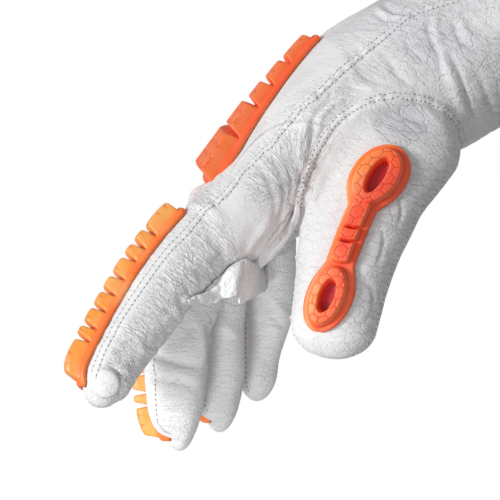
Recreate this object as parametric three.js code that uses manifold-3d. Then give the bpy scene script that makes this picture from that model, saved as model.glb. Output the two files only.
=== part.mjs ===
// A right-hand leather work glove with moulded impact guards, in the curved shape that it has on a hand.
// Millimetres. The hand hangs from the cuff at the upper right (+X, +Z) down to the fingertips (-X, -Z).
// The thumb side faces -Y, the little finger is at +Y, and the origin is the centre of the cuff's mouth.
// The leather is a hollow wall throughout, cut into the panels that are sewn together.
import * as THREE from "three";
import { mergeVertices } from "three/addons/utils/BufferGeometryUtils.js";
import Module from "manifold-3d";

const wasm = await Module();
wasm.setup();

// Driving dimensions
const WALL = 2.2; // leather with its lining
const SEAM = 0.35; // gap between two panels
const CLEAR = 0.6; // gap between a guard and the leather's nominal surface
const OVERCUT = 12; // how far a cutting solid runs past what it cuts
const HEM_WIDTH = 14; // turned band round the mouth of the cuff
const HEM_EXTRA = 1.1; // its extra thickness
const FLANGE = 1.9; // thickness of a guard's base
const BLOCK = 4.7; // height of a guard's blocks above the base
const DRAFT = 1.5; // how far a block's ends lean in

const LEATHER = { color: 0xe9eaec, roughness: 0.62, metalness: 0 };
const RUBBER = { color: 0xff6a2b, roughness: 0.45, metalness: 0 };

// Limbs. Each row is a section: at is the distance along the limb's line, pitch the line's slope below the
// horizontal, wide the section across the knuckles and thick from the back to the palm.
// lineOnBack says that the line is the back of the hand, and not the middle of the limb.
// yaw turns the limb towards the thumb side, and roll turns its back from up towards the thumb side.
// lag draws the little finger's side of the hand back towards the wrist. A finger's own panel starts at root
// and its share of the back panel at backFrom; near and far are how far its space reaches to either side.
const HAND = {
  lineOnBack: true,
  sides: 18,
  sidesInside: 14,
  power: 2.4,
  cap: 11,
  rows: [
    { at: 0, pitch: 30, wide: 98, thick: 72, lag: 0 },
    { at: 40, pitch: 30, wide: 92, thick: 70, lag: 0 },
    { at: 72, pitch: 29, wide: 88, thick: 69, lag: 0 },
    { at: 89, pitch: 33, wide: 86, thick: 65, lag: 0 },
    { at: 102, pitch: 46, wide: 88, thick: 58, lag: 0 },
    { at: 118, pitch: 51, wide: 93, thick: 51, lag: 2 },
    { at: 138, pitch: 53, wide: 98, thick: 48, lag: 7 },
    { at: 156, pitch: 54, wide: 100, thick: 47, lag: 13 },
    { at: 170, pitch: 52, wide: 100, thick: 44, lag: 17 },
    { at: 184, pitch: 46, wide: 99, thick: 39, lag: 21 },
    { at: 194, pitch: 44, wide: 97, thick: 35, lag: 23 },
  ],
};

const FINGERS = [
  {
    name: "index",
    sides: 12,
    sidesInside: 10,
    base: { x: -131, y: -36, z: -86.8 },
    root: 12,
    backFrom: 8,
    near: 20,
    far: 12,
    yaw: 13,
    cap: 13,
    rows: [
      { at: 0, pitch: 42, wide: 24, thick: 31 },
      { at: 20, pitch: 43, wide: 25, thick: 29.5 },
      { at: 38, pitch: 50, wide: 25, thick: 27 },
      { at: 54, pitch: 57, wide: 24.5, thick: 25.5 },
      { at: 72, pitch: 57, wide: 23.5, thick: 23.5 },
      { at: 88, pitch: 61, wide: 22, thick: 20.6 },
      { at: 101, pitch: 68, wide: 20.5, thick: 17.8 },
    ],
  },
  {
    name: "middle",
    sides: 10,
    sidesInside: 8,
    base: { x: -134, y: -12, z: -90 },
    root: 22,
    backFrom: -14,
    near: 12,
    far: 12,
    yaw: 3,
    cap: 18,
    rows: [
      { at: 0, pitch: 54, wide: 23.4, thick: 28 },
      { at: 28, pitch: 60, wide: 23.4, thick: 27 },
      { at: 46, pitch: 74, wide: 23.4, thick: 26 },
      { at: 58, pitch: 88, wide: 23.4, thick: 24.5 },
      { at: 74, pitch: 90, wide: 23, thick: 22.3 },
      { at: 90, pitch: 90, wide: 21.5, thick: 18 },
      { at: 102, pitch: 92, wide: 19.5, thick: 15 },
    ],
  },
  {
    name: "ring",
    sides: 10,
    sidesInside: 8,
    base: { x: -131, y: 12, z: -88 },
    root: 18,
    backFrom: -14,
    near: 12,
    far: 12,
    yaw: 0,
    cap: 18,
    rows: [
      { at: 0, pitch: 62, wide: 23.4, thick: 27 },
      { at: 22, pitch: 72, wide: 23.4, thick: 26 },
      { at: 40, pitch: 82, wide: 23.4, thick: 25 },
      { at: 52, pitch: 93, wide: 23.2, thick: 24 },
      { at: 70, pitch: 93, wide: 22.5, thick: 21.5 },
      { at: 84, pitch: 90, wide: 21, thick: 18 },
      { at: 95, pitch: 89, wide: 19.5, thick: 15.5 },
    ],
  },
  {
    name: "little",
    sides: 10,
    sidesInside: 8,
    base: { x: -126, y: 35, z: -86.5 },
    root: 12,
    backFrom: -14,
    near: 12,
    far: 20,
    yaw: -2,
    cap: 12,
    rows: [
      { at: 0, pitch: 84, wide: 22, thick: 24 },
      { at: 20, pitch: 92, wide: 22, thick: 23.5 },
      { at: 36, pitch: 91, wide: 21.6, thick: 21.8 },
      { at: 50, pitch: 89, wide: 21, thick: 20 },
      { at: 66, pitch: 88, wide: 20, thick: 17.8 },
      { at: 83, pitch: 88, wide: 18.5, thick: 15.5 },
    ],
  },
];

const THUMB = {
  name: "thumb",
  base: { x: -61, y: -31, z: -40 },
  yaw: 6,
  roll: 76,
  sides: 14,
  sidesInside: 12,
  power: 2.3,
  cap: 12,
  startCap: 26,
  rows: [
    { at: 0, pitch: 52, wide: 60, thick: 34 },
    { at: 30, pitch: 62, wide: 57, thick: 33 },
    { at: 52, pitch: 72, wide: 48, thick: 31 },
    { at: 72, pitch: 77, wide: 41.5, thick: 28.5 },
    { at: 92, pitch: 79, wide: 36.5, thick: 25.5 },
    { at: 115.5, pitch: 80, wide: 32, thick: 22 },
  ],
};

// The seam round the thumb's base, seen from the thumb side, and how far it reaches in towards the palm.
const THUMB_SEAM = [
  { x: -116.5, z: -170 },
  { x: -116.5, z: -106 },
  { x: -113.4, z: -104 },
  { x: -112.8, z: -96 },
  { x: -111.8, z: -88 },
  { x: -109.3, z: -79.5 },
  { x: -101.8, z: -66 },
  { x: -92, z: -49.5 },
  { x: -82.3, z: -44.6 },
  { x: -71.3, z: -43.2 },
  { x: -60.4, z: -45.8 },
  { x: -53.8, z: -52 },
  { x: -47.1, z: -64.5 },
  { x: -40, z: -80 },
  { x: -30, z: -170 },
];
const THUMB_SEAM_DEPTH = { near: -80, far: -12 };

// Folds that stand up from the leather where the thumb meets the hand: points along each and half widths.
const FOLDS = {
  web: [
    { x: -113, y: -43, z: -80, half: 2.2 },
    { x: -114, y: -45, z: -90, half: 3.2 },
    { x: -116, y: -45.5, z: -99, half: 3.4 },
    { x: -121, y: -43, z: -107, half: 3.2 },
    { x: -129, y: -40, z: -112.5, half: 2.4 },
  ],
  root: [
    { x: -126, y: -38, z: -111, half: 4.6 },
    { x: -133, y: -38, z: -117, half: 5.8 },
    { x: -140, y: -38, z: -120.3, half: 5.2 },
    { x: -147, y: -38, z: -122.8, half: 3.4 },
    { x: -153, y: -38, z: -124.9, half: 1 },
  ],
};

// Guard blocks from the knuckle to the tip: how long each one is along the finger.
const FINGER_BLOCKS = {
  index: [12.5, 6, 5.5, 7.8, 7.1, 7.5, 7.5, 5.2, 14],
  middle: [12.5, 6, 5.5, 7.8, 7.1, 7.5, 7.5, 5.2, 13],
  ring: [11, 5.6, 5.2, 7.2, 6.8, 7, 6.8, 5, 11],
  little: [10, 5.6, 5.4, 7, 7, 6.6, 11],
};
const FINGER_GUARD_START = { index: 22.5, middle: 25, ring: 24, little: 22 };
const FINGER_FLANGE_WIDE = 15;
const FINGER_BLOCK_WIDE = 11;

// The guard on the back of the hand: columns of blocks towards each knuckle, on one base with slots between.
const HAND_BLOCKS = [
  { long: 14, height: 2.4 },
  { long: 11.5, height: 2.8 },
  { long: 11, height: 3.3 },
  { long: 14.5, height: 4.2 },
  { long: 21, height: 5 },
];
const HAND_GUARD_START = 100;
const HAND_BLOCK_WIDE = { from: 8.6, to: 17.5 };
const HAND_COLUMNS = [
  { from: -14, to: -31, first: 0 },
  { from: -4.7, to: -10.4, first: 0 },
  { from: 4.7, to: 10.4, first: 0 },
  { from: 14, to: 31, first: 1 },
];

// The guard on the back of the thumb: two oval rings joined by a bridge of three blocks.
const THUMB_RINGS = [
  { at: 44, long: 25.5, wide: 17.5, flange: 21.5, hole: 14.4 },
  { at: 93.5, long: 25, wide: 14.5, flange: 19, hole: 12.5 },
];
const THUMB_HOLE_WIDE = 5.8;
const THUMB_BRIDGE = { from: 54, to: 82, wide: 7, flange: 11 };
const THUMB_BRIDGE_BLOCKS = [11, 5.6, 8.8];
const THUMB_RING_MARGIN = 3.2; // how much longer the flange is than the ring
const THUMB_GUARD_LINE = { from: -6.5, to: 1.2 }; // how far the rings sit off the thumb's middle line

// How far up each limb's half thickness the seam between back and palm runs.
const HAND_LEVEL = 0.45;
const FINGER_LEVEL = 0.62;
const THUMB_LEVEL = 0;

const rad = THREE.MathUtils.degToRad;

// A row's value at a distance along the limb, on a smooth curve through the table.
function column(rows, name, at) {
  let i = 0;
  while (i < rows.length - 2 && rows[i + 1].at < at) i++;
  const a = rows[i];
  const b = rows[i + 1];
  const before = rows[Math.max(0, i - 1)];
  const after = rows[Math.min(rows.length - 1, i + 2)];
  const span = b.at - a.at;
  const slope = (p, q) => (q.at > p.at ? (q[name] - p[name]) / (q.at - p.at) : 0);
  const t = Math.min(Math.max((at - a.at) / span, 0), 1);
  const m0 = slope(before, b) * span;
  const m1 = slope(a, after) * span;
  const t2 = t * t;
  const t3 = t2 * t;
  return (
    (2 * t3 - 3 * t2 + 1) * a[name] + (t3 - 2 * t2 + t) * m0 + (3 * t2 - 2 * t3) * b[name] + (t3 - t2) * m1
  );
}

// The direction along the limb, its back's normal and its width's direction.
function axesAt(limb, at) {
  const pitch = rad(column(limb.rows, "pitch", at));
  const yaw = rad(limb.yaw ?? 0);
  const roll = rad(limb.roll ?? 0);
  const along = new THREE.Vector3(
    -Math.cos(pitch) * Math.cos(yaw),
    -Math.sin(yaw),
    -Math.sin(pitch) * Math.cos(yaw),
  );
  const up = new THREE.Vector3(-Math.sin(pitch), 0, Math.cos(pitch));
  const across = new THREE.Vector3().crossVectors(along, up);
  const back = up.clone().multiplyScalar(Math.cos(roll)).addScaledVector(across, -Math.sin(roll));
  const side = new THREE.Vector3().crossVectors(along, back);
  return { along, back, side };
}

const STEP = 1; // the limb's line is summed in steps of about this length
const CLOSEST = 5; // sections nearer than this to the start of a rounded tip are left out
const POWER = 2.2; // how square a finger's section is, 2 being an ellipse
const FOLD_DEPTH = 0.65; // a fold's depth as a share of its width
const LONG_BLOCK = 15; // a guard block longer than this bends with the leather under it

// Follows the limb's line once and keeps a point each STEP.
function traceLine(limb) {
  const last = limb.rows[limb.rows.length - 1].at;
  limb.length = last;
  const start = limb.base
    ? new THREE.Vector3(limb.base.x, limb.base.y, limb.base.z)
    : axesAt(limb, 0).back.multiplyScalar(limb.rows[0].thick / 2);
  limb.line = [start];
  const count = Math.ceil(last / STEP);
  for (let i = 0; i < count; i++) {
    const { along } = axesAt(limb, ((i + 0.5) * last) / count);
    limb.line.push(limb.line[i].clone().addScaledVector(along, last / count));
  }
  return limb;
}

function linePoint(limb, at) {
  const share = (at / limb.length) * (limb.line.length - 1);
  const i = Math.min(Math.max(Math.floor(share), 0), limb.line.length - 2);
  return limb.line[i].clone().lerp(limb.line[i + 1], share - i);
}

// The middle of the section, its half sizes and its axes. grow is added to the outer surface.
function section(limb, at, grow) {
  const axes = axesAt(limb, at);
  const thick = column(limb.rows, "thick", at);
  const centre = linePoint(limb, at);
  if (limb.lineOnBack) centre.addScaledVector(axes.back, -thick / 2);
  const past = Math.max(0, (at - (limb.length - limb.cap)) / (limb.cap + grow));
  const short = limb.startCap ? Math.max(0, (limb.startCap - at) / (limb.startCap + grow)) : 0;
  const shrink = Math.sqrt(Math.max(0, 1 - past * past - short * short));
  return {
    ...axes,
    centre,
    lag: column(limb.rows, "lag", at) || 0,
    halfWide: (column(limb.rows, "wide", at) / 2 + grow) * shrink,
    halfThick: (thick / 2 + grow) * shrink,
  };
}

// A point of a section, x across and y towards the back. The little finger's side of the hand lags behind.
function place(s, x, y) {
  const side = Math.min(Math.max((x / Math.max(s.halfWide, 1) + 1) / 2, 0), 1);
  return s.centre
    .clone()
    .addScaledVector(s.side, x)
    .addScaledVector(s.back, y)
    .addScaledVector(s.along, -s.lag * side * side);
}

// Where the sections go: at the table's rows, and closer together towards a rounded end.
function stations(limb, grow) {
  const start = limb.startCap ?? 0;
  const body = limb.length - limb.cap;
  const end = limb.length + grow;
  return [
    ...(start ? [0.92, 0.55].map((share) => start - (start + grow) * share) : []),
    ...limb.rows.map((row) => row.at).filter((at) => at >= start && at < body - CLOSEST),
    body,
    ...[0.45, 0.75, 0.93].map((share) => body + (end - body) * share),
  ];
}

// A point on a section's rim; angle 0 is its side and 90 degrees its back.
function rim(s, power, angle) {
  const c = Math.cos(angle);
  const n = Math.sin(angle);
  const x = Math.sign(c) * Math.abs(c) ** (2 / power) * s.halfWide;
  const y = Math.sign(n) * Math.abs(n) ** (2 / power) * s.halfThick;
  return place(s, x, y);
}

// A closed solid through rings of points, each ring a list of the same length.
function solidThroughRings(rings, tip = null) {
  const n = rings[0].length;
  const positions = [];
  const index = [];
  for (const ring of rings) for (const p of ring) positions.push(p.x, p.y, p.z);
  for (let r = 0; r < rings.length - 1; r++)
    for (let k = 0; k < n; k++) {
      const a = r * n + k;
      const b = r * n + ((k + 1) % n);
      index.push(a, b, b + n, a, b + n, a + n);
    }
  for (const [ring, offset, flip] of [
    [rings[0], 0, true],
    [rings[rings.length - 1], (rings.length - 1) * n, false],
  ]) {
    const middle = ring.reduce((sum, p) => sum.add(p), new THREE.Vector3()).divideScalar(n);
    if (tip && !flip) middle.copy(tip);
    const hub = positions.length / 3;
    positions.push(middle.x, middle.y, middle.z);
    for (let k = 0; k < n; k++) {
      const a = offset + k;
      const b = offset + ((k + 1) % n);
      index.push(...(flip ? [hub, b, a] : [hub, a, b]));
    }
  }
  return toSolid(positions, index);
}

// A closed solid from a triangle list, turned the right way out.
function toSolid(positions, index) {
  const geometry = new THREE.BufferGeometry()
    .setAttribute("position", new THREE.BufferAttribute(new Float32Array(positions), 3))
    .setIndex(index);
  const merged = mergeVertices(geometry, 1e-4);
  const vertProperties = merged.attributes.position.array;
  const triVerts = new Uint32Array(merged.index.array);
  let volume = 0;
  const [a, b, c] = [new THREE.Vector3(), new THREE.Vector3(), new THREE.Vector3()];
  for (let i = 0; i < triVerts.length; i += 3) {
    a.fromArray(vertProperties, triVerts[i] * 3);
    b.fromArray(vertProperties, triVerts[i + 1] * 3);
    c.fromArray(vertProperties, triVerts[i + 2] * 3);
    volume += a.dot(b.cross(c));
  }
  if (volume < 0)
    for (let i = 0; i < triVerts.length; i += 3)
      [triVerts[i + 1], triVerts[i + 2]] = [triVerts[i + 2], triVerts[i + 1]];
  return new wasm.Manifold(new wasm.Mesh({ numProp: 3, vertProperties, triVerts }));
}

// The section at a distance that may run a little past the end of the limb.
function sectionPast(limb, at, grow) {
  const s = section(limb, Math.min(Math.max(at, 0), limb.length), 0);
  const sized = section(limb, at, grow);
  sized.centre = s.centre.addScaledVector(s.along, at - Math.min(Math.max(at, 0), limb.length));
  return sized;
}

function ringOf(s, limb, sides = limb.sides) {
  const power = limb.power ?? POWER;
  return Array.from({ length: sides }, (_, k) => rim(s, power, (2 * Math.PI * (k + 0.5)) / sides));
}

// A limb's closed outer form, grown by grow, or shrunk where grow is negative.
function limbSolid(limb, grow) {
  const sides = grow < 0 ? limb.sidesInside : limb.sides;
  const rings = stations(limb, grow).map((at) => ringOf(sectionPast(limb, at, grow), limb, sides));
  const end = sectionPast(limb, limb.length + grow, grow);
  return solidThroughRings(rings, place({ ...end, lag: end.lag / 4, halfWide: 1 }, 0, 0));
}

// A loft of rectangles round a limb, from start to past its tip. low, high, near and far give each rectangle.
function boxLoft(limb, start, boxOf) {
  const body = limb.length - limb.cap;
  const list = stations(limb, 0).filter((at) => at > start + 1 && at <= body);
  const rings = [start, ...list, limb.length - limb.cap / 2, limb.length + OVERCUT].map((at) => {
    const sized = section(limb, Math.min(Math.max(at, limb.startCap ?? 0), body), 0);
    const s = { ...sectionPast(limb, at, 0), halfWide: sized.halfWide };
    const { low, high, near, far } = boxOf(sized);
    return [
      [-near, low],
      [far, low],
      [far, high],
      [-near, high],
    ].map(([x, y]) => place(s, x, y));
  });
  return solidThroughRings(rings);
}

// The part of space on a limb's back side, from level times its half thickness upwards.
function backHalf(limb, start, level, margin, grow) {
  return boxLoft(limb, start - grow, (s) => ({
    low: s.halfThick * level - grow,
    high: s.halfThick + OVERCUT,
    near: Math.min(s.halfWide + margin, limb.near ?? Infinity) + grow,
    far: Math.min(s.halfWide + margin, limb.far ?? Infinity) + grow,
  }));
}

// The part of space that holds a finger past its root.
function fingerSpace(limb, grow) {
  return boxLoft(limb, limb.root - grow, (s) => ({
    low: -s.halfThick - OVERCUT,
    high: s.halfThick + OVERCUT,
    near: limb.near + grow,
    far: limb.far + grow,
  }));
}

// A prism across the hand, from a line seen from the thumb side.
function prism(line, near, far) {
  const shape = new THREE.Shape(line.map(({ x, z }) => new THREE.Vector2(x, z)));
  const geometry = new THREE.ExtrudeGeometry(shape, { depth: far - near, bevelEnabled: false, steps: 1 });
  geometry.rotateX(Math.PI / 2).translate(0, far, 0);
  const plain = new THREE.BufferGeometry().setAttribute("position", geometry.attributes.position);
  const merged = mergeVertices(plain, 1e-4);
  return toSolid([...merged.attributes.position.array], [...merged.index.array]);
}

// The same line moved outwards by a distance, as seen from the thumb side.
function widened(line, distance) {
  const middle = {
    x: line.reduce((sum, p) => sum + p.x, 0) / line.length,
    z: line.reduce((sum, p) => sum + p.z, 0) / line.length,
  };
  return line.map((p, i) => {
    const a = line[(i + line.length - 1) % line.length];
    const b = line[(i + 1) % line.length];
    const normal = new THREE.Vector2(b.z - a.z, a.x - b.x).normalize();
    const outwards = normal.x * (p.x - middle.x) + normal.y * (p.z - middle.z) > 0 ? 1 : -1;
    return { x: p.x + normal.x * outwards * distance, z: p.z + normal.y * outwards * distance };
  });
}

// A ridge through points, tapering to its ends.
function fold(points) {
  const rings = points.map((p, i) => {
    const a = points[Math.max(0, i - 1)];
    const b = points[Math.min(points.length - 1, i + 1)];
    const along = new THREE.Vector3(b.x - a.x, b.y - a.y, b.z - a.z).normalize();
    const across = new THREE.Vector3(0, 1, 0).cross(along).normalize();
    const out = new THREE.Vector3().crossVectors(along, across);
    return Array.from({ length: 6 }, (_, k) => {
      const angle = (2 * Math.PI * k) / 6;
      return new THREE.Vector3(p.x, p.y, p.z)
        .addScaledVector(across, p.half * Math.cos(angle))
        .addScaledVector(out, FOLD_DEPTH * p.half * Math.sin(angle));
    });
  });
  return solidThroughRings(rings);
}

// A point on a limb's back, off to one side by side millimetres and above the leather by height.
function onBack(limb, at, side, height) {
  const s = section(limb, Math.min(at, limb.length - 1), 0);
  const power = limb.power ?? POWER;
  const share = Math.min(Math.abs(side) / s.halfWide, 0.98);
  const surface = s.halfThick * (1 - share ** power) ** (1 / power);
  return place(s, side, surface + height);
}

// A pad on a limb's back: rows of { at, left, right }, split into strips, from height low to height high.
// inset draws its top in from the sides and the ends.
function pad(limb, rows, strips, low, high, inset = 0) {
  const positions = [];
  const index = [];
  const n = strips + 1;
  const first = rows[0].at;
  const last = rows[rows.length - 1].at;
  const layer = (height, draw) => {
    for (const row of rows)
      for (let k = 0; k < n; k++) {
        const at = first + draw + ((row.at - first) * (last - first - 2 * draw)) / (last - first);
        const left = row.left + Math.min(draw, 1);
        const right = row.right - Math.min(draw, 1);
        const p = onBack(limb, at, left + ((right - left) * k) / strips, height);
        positions.push(p.x, p.y, p.z);
      }
  };
  layer(low, 0);
  layer(high, inset);
  const top = rows.length * n;
  const quad = (a, b, c, d) => index.push(a, b, c, a, c, d);
  for (let r = 0; r < rows.length - 1; r++) {
    for (let k = 0; k < strips; k++) {
      const a = r * n + k;
      quad(a, a + n, a + n + 1, a + 1);
      quad(top + a, top + a + 1, top + a + n + 1, top + a + n);
    }
    const left = r * n;
    const right = r * n + strips;
    quad(left, top + left, top + left + n, left + n);
    quad(right, right + n, top + right + n, top + right);
  }
  for (let k = 0; k < strips; k++) {
    const end = (rows.length - 1) * n + k;
    quad(k, k + 1, top + k + 1, top + k);
    quad(end, top + end, top + end + 1, end + 1);
  }
  return toSolid(positions, index);
}

// Rows of a strip of even width along a limb.
function stripRows(from, to, count, middleOf, wide) {
  return Array.from({ length: count + 1 }, (_, i) => {
    const at = from + ((to - from) * i) / count;
    const middle = middleOf(at);
    return { at, left: middle - wide / 2, right: middle + wide / 2 };
  });
}

// Rows at the limb's own sections between two distances, so that a pad lies parallel to the leather under it.
function rowsBetween(limb, from, to, sidesOf) {
  const inner = stations(limb, 0).filter((at) => at > from + 1.5 && at < to - 1.5);
  return [from, ...inner, to].map((at) => ({ at, ...sidesOf(at) }));
}

// Rows of an oval centred at a distance along a limb.
function ovalRows(at, long, wide, middleOf, count = 6) {
  return Array.from({ length: count + 1 }, (_, i) => {
    const angle = Math.PI * (0.04 + (0.92 * i) / count);
    const rowAt = at - (long / 2) * Math.cos(angle);
    const half = (wide / 2) * Math.sin(angle);
    return { at: rowAt, left: middleOf(rowAt) - half, right: middleOf(rowAt) + half };
  });
}

// Blocks in a row along a limb, as separate tapered solids standing on the flange.
function blocks(limb, start, rows, middleOf, wideOf) {
  const made = [];
  let at = start;
  for (const { long, height } of rows) {
    const count = long > LONG_BLOCK ? 2 : 1;
    const strip = stripRows(at + 0.15, at + long - 0.15, count, middleOf, wideOf(at + long / 2));
    made.push(pad(limb, strip, 1, CLEAR + FLANGE - 0.4, CLEAR + FLANGE + height, DRAFT));
    at += long;
  }
  return made;
}

const union = (solids) => solids.slice(1).reduce((sum, s) => sum.add(s), solids[0]);
const total = (rows) => rows.reduce((sum, row) => sum + row.long, 0);

// Only the largest body is kept: slivers that a cut leaves are dropped.
function mainBody(solid) {
  return solid.decompose().sort((a, b) => b.volume() - a.volume())[0];
}

[HAND, THUMB, ...FINGERS].forEach(traceLine);

// Everything inside the leather, open at the cuff's mouth.
function hollow() {
  const plug = [-OVERCUT, 6].map((at) => {
    const s = section(HAND, 6, -WALL);
    s.centre.addScaledVector(s.along, at - 6);
    return ringOf(s, HAND);
  });
  const inside = [HAND, ...FINGERS, THUMB].map((limb) => limbSolid(limb, -WALL));
  return union([...inside, solidThroughRings(plug)]);
}

// The turned band round the cuff's mouth.
function hem() {
  return solidThroughRings([0, HEM_WIDTH].map((at) => ringOf(section(HAND, at, HEM_EXTRA), HAND)));
}

const forms = [HAND, THUMB, ...FINGERS].map((limb) => limbSolid(limb, 0));
const shell = union([...forms, hem(), ...Object.values(FOLDS).map(fold)]).subtract(hollow());

// The part of space for each panel; grow widens it by the gap where it is taken away from a neighbour.
const backSpace = (grow) =>
  union([
    backHalf(HAND, -OVERCUT, HAND_LEVEL, 3, grow),
    ...FINGERS.map((f) => backHalf(f, f.backFrom, FINGER_LEVEL, 4, grow)),
  ]);
const thumbSpace = (grow) =>
  prism(widened(THUMB_SEAM, grow), THUMB_SEAM_DEPTH.near, THUMB_SEAM_DEPTH.far + grow);
const thumbBack = (grow) => backHalf(THUMB, -OVERCUT, THUMB_LEVEL, 9, grow);

const thumb = shell.intersect(thumbSpace(0));
const rest = shell.subtract(thumbSpace(SEAM));
const backPanel = rest.intersect(backSpace(0));
const fronts = rest.subtract(backSpace(SEAM));
const fingerFronts = [];
let palmPanel = fronts;
for (const f of FINGERS) {
  fingerFronts.push(palmPanel.intersect(fingerSpace(f, 0)));
  palmPanel = palmPanel.subtract(fingerSpace(f, SEAM));
}
const thumbOuter = thumb.intersect(thumbBack(0));
const thumbInner = thumb.subtract(thumbBack(SEAM));

function fingerGuard(limb) {
  const rows = FINGER_BLOCKS[limb.name].map((long) => ({ long, height: BLOCK }));
  const start = FINGER_GUARD_START[limb.name];
  const end = start + total(rows);
  const middle = () => 0;
  const half = (at) => Math.min(FINGER_FLANGE_WIDE / 2, section(limb, at, 0).halfWide * 0.8);
  const sidesAt = (at) => ({ left: -half(at), right: half(at) });
  const flangeRows = rowsBetween(limb, start - 1.5, end + 1.4, sidesAt);
  const flange = pad(limb, flangeRows, 3, CLEAR, CLEAR + FLANGE);
  return union([flange, ...blocks(limb, start, rows, middle, () => FINGER_BLOCK_WIDE)]);
}

function handGuard() {
  const end = HAND_GUARD_START + total(HAND_BLOCKS);
  const share = (at) => (at - HAND_GUARD_START) / (end - HAND_GUARD_START);
  const lineOf = (c) => (at) => c.from + (c.to - c.from) * share(at);
  const wideAt = (at) => HAND_BLOCK_WIDE.from + (HAND_BLOCK_WIDE.to - HAND_BLOCK_WIDE.from) * share(at);
  const outer = HAND_COLUMNS[HAND_COLUMNS.length - 1];
  const edge = (at) => lineOf(outer)(at) + wideAt(at) / 2 + 1.8;
  const sidesAt = (at) => ({ left: -edge(at), right: edge(at) });
  const sheetRows = rowsBetween(HAND, HAND_GUARD_START - 2, end + 2, sidesAt);
  let guard = pad(HAND, sheetRows, 7, CLEAR, CLEAR + FLANGE);
  for (const c of HAND_COLUMNS) {
    const start = HAND_GUARD_START + total(HAND_BLOCKS.slice(0, c.first));
    guard = union([guard, ...blocks(HAND, start, HAND_BLOCKS.slice(c.first), lineOf(c), wideAt)]);
  }
  return guard.subtract(limbSolid(FINGERS[0], SEAM));
}

function thumbGuard() {
  const [upper, lower] = THUMB_RINGS;
  const middle = (at) =>
    THUMB_GUARD_LINE.from +
    ((THUMB_GUARD_LINE.to - THUMB_GUARD_LINE.from) * (at - upper.at)) / (lower.at - upper.at);
  const base = CLEAR + FLANGE;
  const top = base + BLOCK - 1.2;
  const bridgeRows = stripRows(THUMB_BRIDGE.from, THUMB_BRIDGE.to, 2, middle, THUMB_BRIDGE.flange);
  const pieces = [pad(THUMB, bridgeRows, 1, CLEAR, base)];
  for (const ring of THUMB_RINGS) {
    const flangeRows = ovalRows(ring.at, ring.long + THUMB_RING_MARGIN, ring.flange, middle);
    const ringRows = ovalRows(ring.at, ring.long, ring.wide, middle);
    const holeRows = ovalRows(ring.at, ring.hole, THUMB_HOLE_WIDE, middle, 4);
    const wall = pad(THUMB, ringRows, 2, base - 0.4, top, 0.7);
    const hole = pad(THUMB, holeRows, 1, base - 0.2, top + 2);
    pieces.push(pad(THUMB, flangeRows, 2, CLEAR, base), wall.subtract(hole));
  }
  let at = THUMB_BRIDGE.from;
  for (const length of THUMB_BRIDGE_BLOCKS) {
    const rows = stripRows(at, at + length - 0.5, 1, middle, THUMB_BRIDGE.wide);
    pieces.push(pad(THUMB, rows, 1, base - 0.4, top - 0.5, 0.6));
    at += length;
  }
  return union(pieces);
}

const glove = new THREE.Group();

function addMesh(name, solid, finish) {
  const body = mainBody(solid);
  const mesh = body.getMesh();
  const geometry = new THREE.BufferGeometry()
    .setAttribute("position", new THREE.BufferAttribute(new Float32Array(mesh.vertProperties), 3))
    .setIndex(new THREE.BufferAttribute(new Uint32Array(mesh.triVerts), 1));
  geometry.computeVertexNormals();
  const made = new THREE.Mesh(geometry, new THREE.MeshStandardMaterial(finish));
  made.name = name;
  glove.add(made);
}

addMesh("back_panel", backPanel, LEATHER);
addMesh("palm_panel", palmPanel, LEATHER);
FINGERS.forEach((f, i) => addMesh(f.name + "_finger_front", fingerFronts[i], LEATHER));
addMesh("thumb_outer", thumbOuter, LEATHER);
addMesh("thumb_inner", thumbInner, LEATHER);
addMesh("hand_guard", handGuard(), RUBBER);
FINGERS.forEach((f) => addMesh(f.name + "_guard", fingerGuard(f), RUBBER));
addMesh("thumb_guard", thumbGuard(), RUBBER);

export default glove;
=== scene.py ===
# A worn leather work glove with moulded rubber guards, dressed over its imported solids.
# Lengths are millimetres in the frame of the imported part, and turn into metres when a mesh is made.
import math

import bpy
import numpy as np
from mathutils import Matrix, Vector
from mathutils.bvhtree import BVHTree


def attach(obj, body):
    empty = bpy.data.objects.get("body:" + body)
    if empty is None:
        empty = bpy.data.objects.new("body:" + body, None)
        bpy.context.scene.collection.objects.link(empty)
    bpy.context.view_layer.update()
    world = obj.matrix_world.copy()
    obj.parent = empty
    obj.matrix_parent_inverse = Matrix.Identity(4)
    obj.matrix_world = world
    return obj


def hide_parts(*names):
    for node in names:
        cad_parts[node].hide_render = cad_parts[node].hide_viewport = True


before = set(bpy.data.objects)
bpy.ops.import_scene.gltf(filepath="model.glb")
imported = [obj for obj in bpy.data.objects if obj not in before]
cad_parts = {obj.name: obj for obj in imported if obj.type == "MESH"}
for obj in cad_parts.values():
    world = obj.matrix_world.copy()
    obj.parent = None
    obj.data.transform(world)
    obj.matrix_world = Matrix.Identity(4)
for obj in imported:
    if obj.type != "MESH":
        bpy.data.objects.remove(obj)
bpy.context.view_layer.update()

MM = 0.001

# The view of the photograph
PIXEL = 0.4  # millimetres a pixel at the plane y = VIEW_PLANE
IMAGE = 500
VIEW_PLANE = -25.0
VIEW_CENTRE = (-130.0, -104.8)
VIEW_DISTANCE = 900.0
SENSOR = 36

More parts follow.
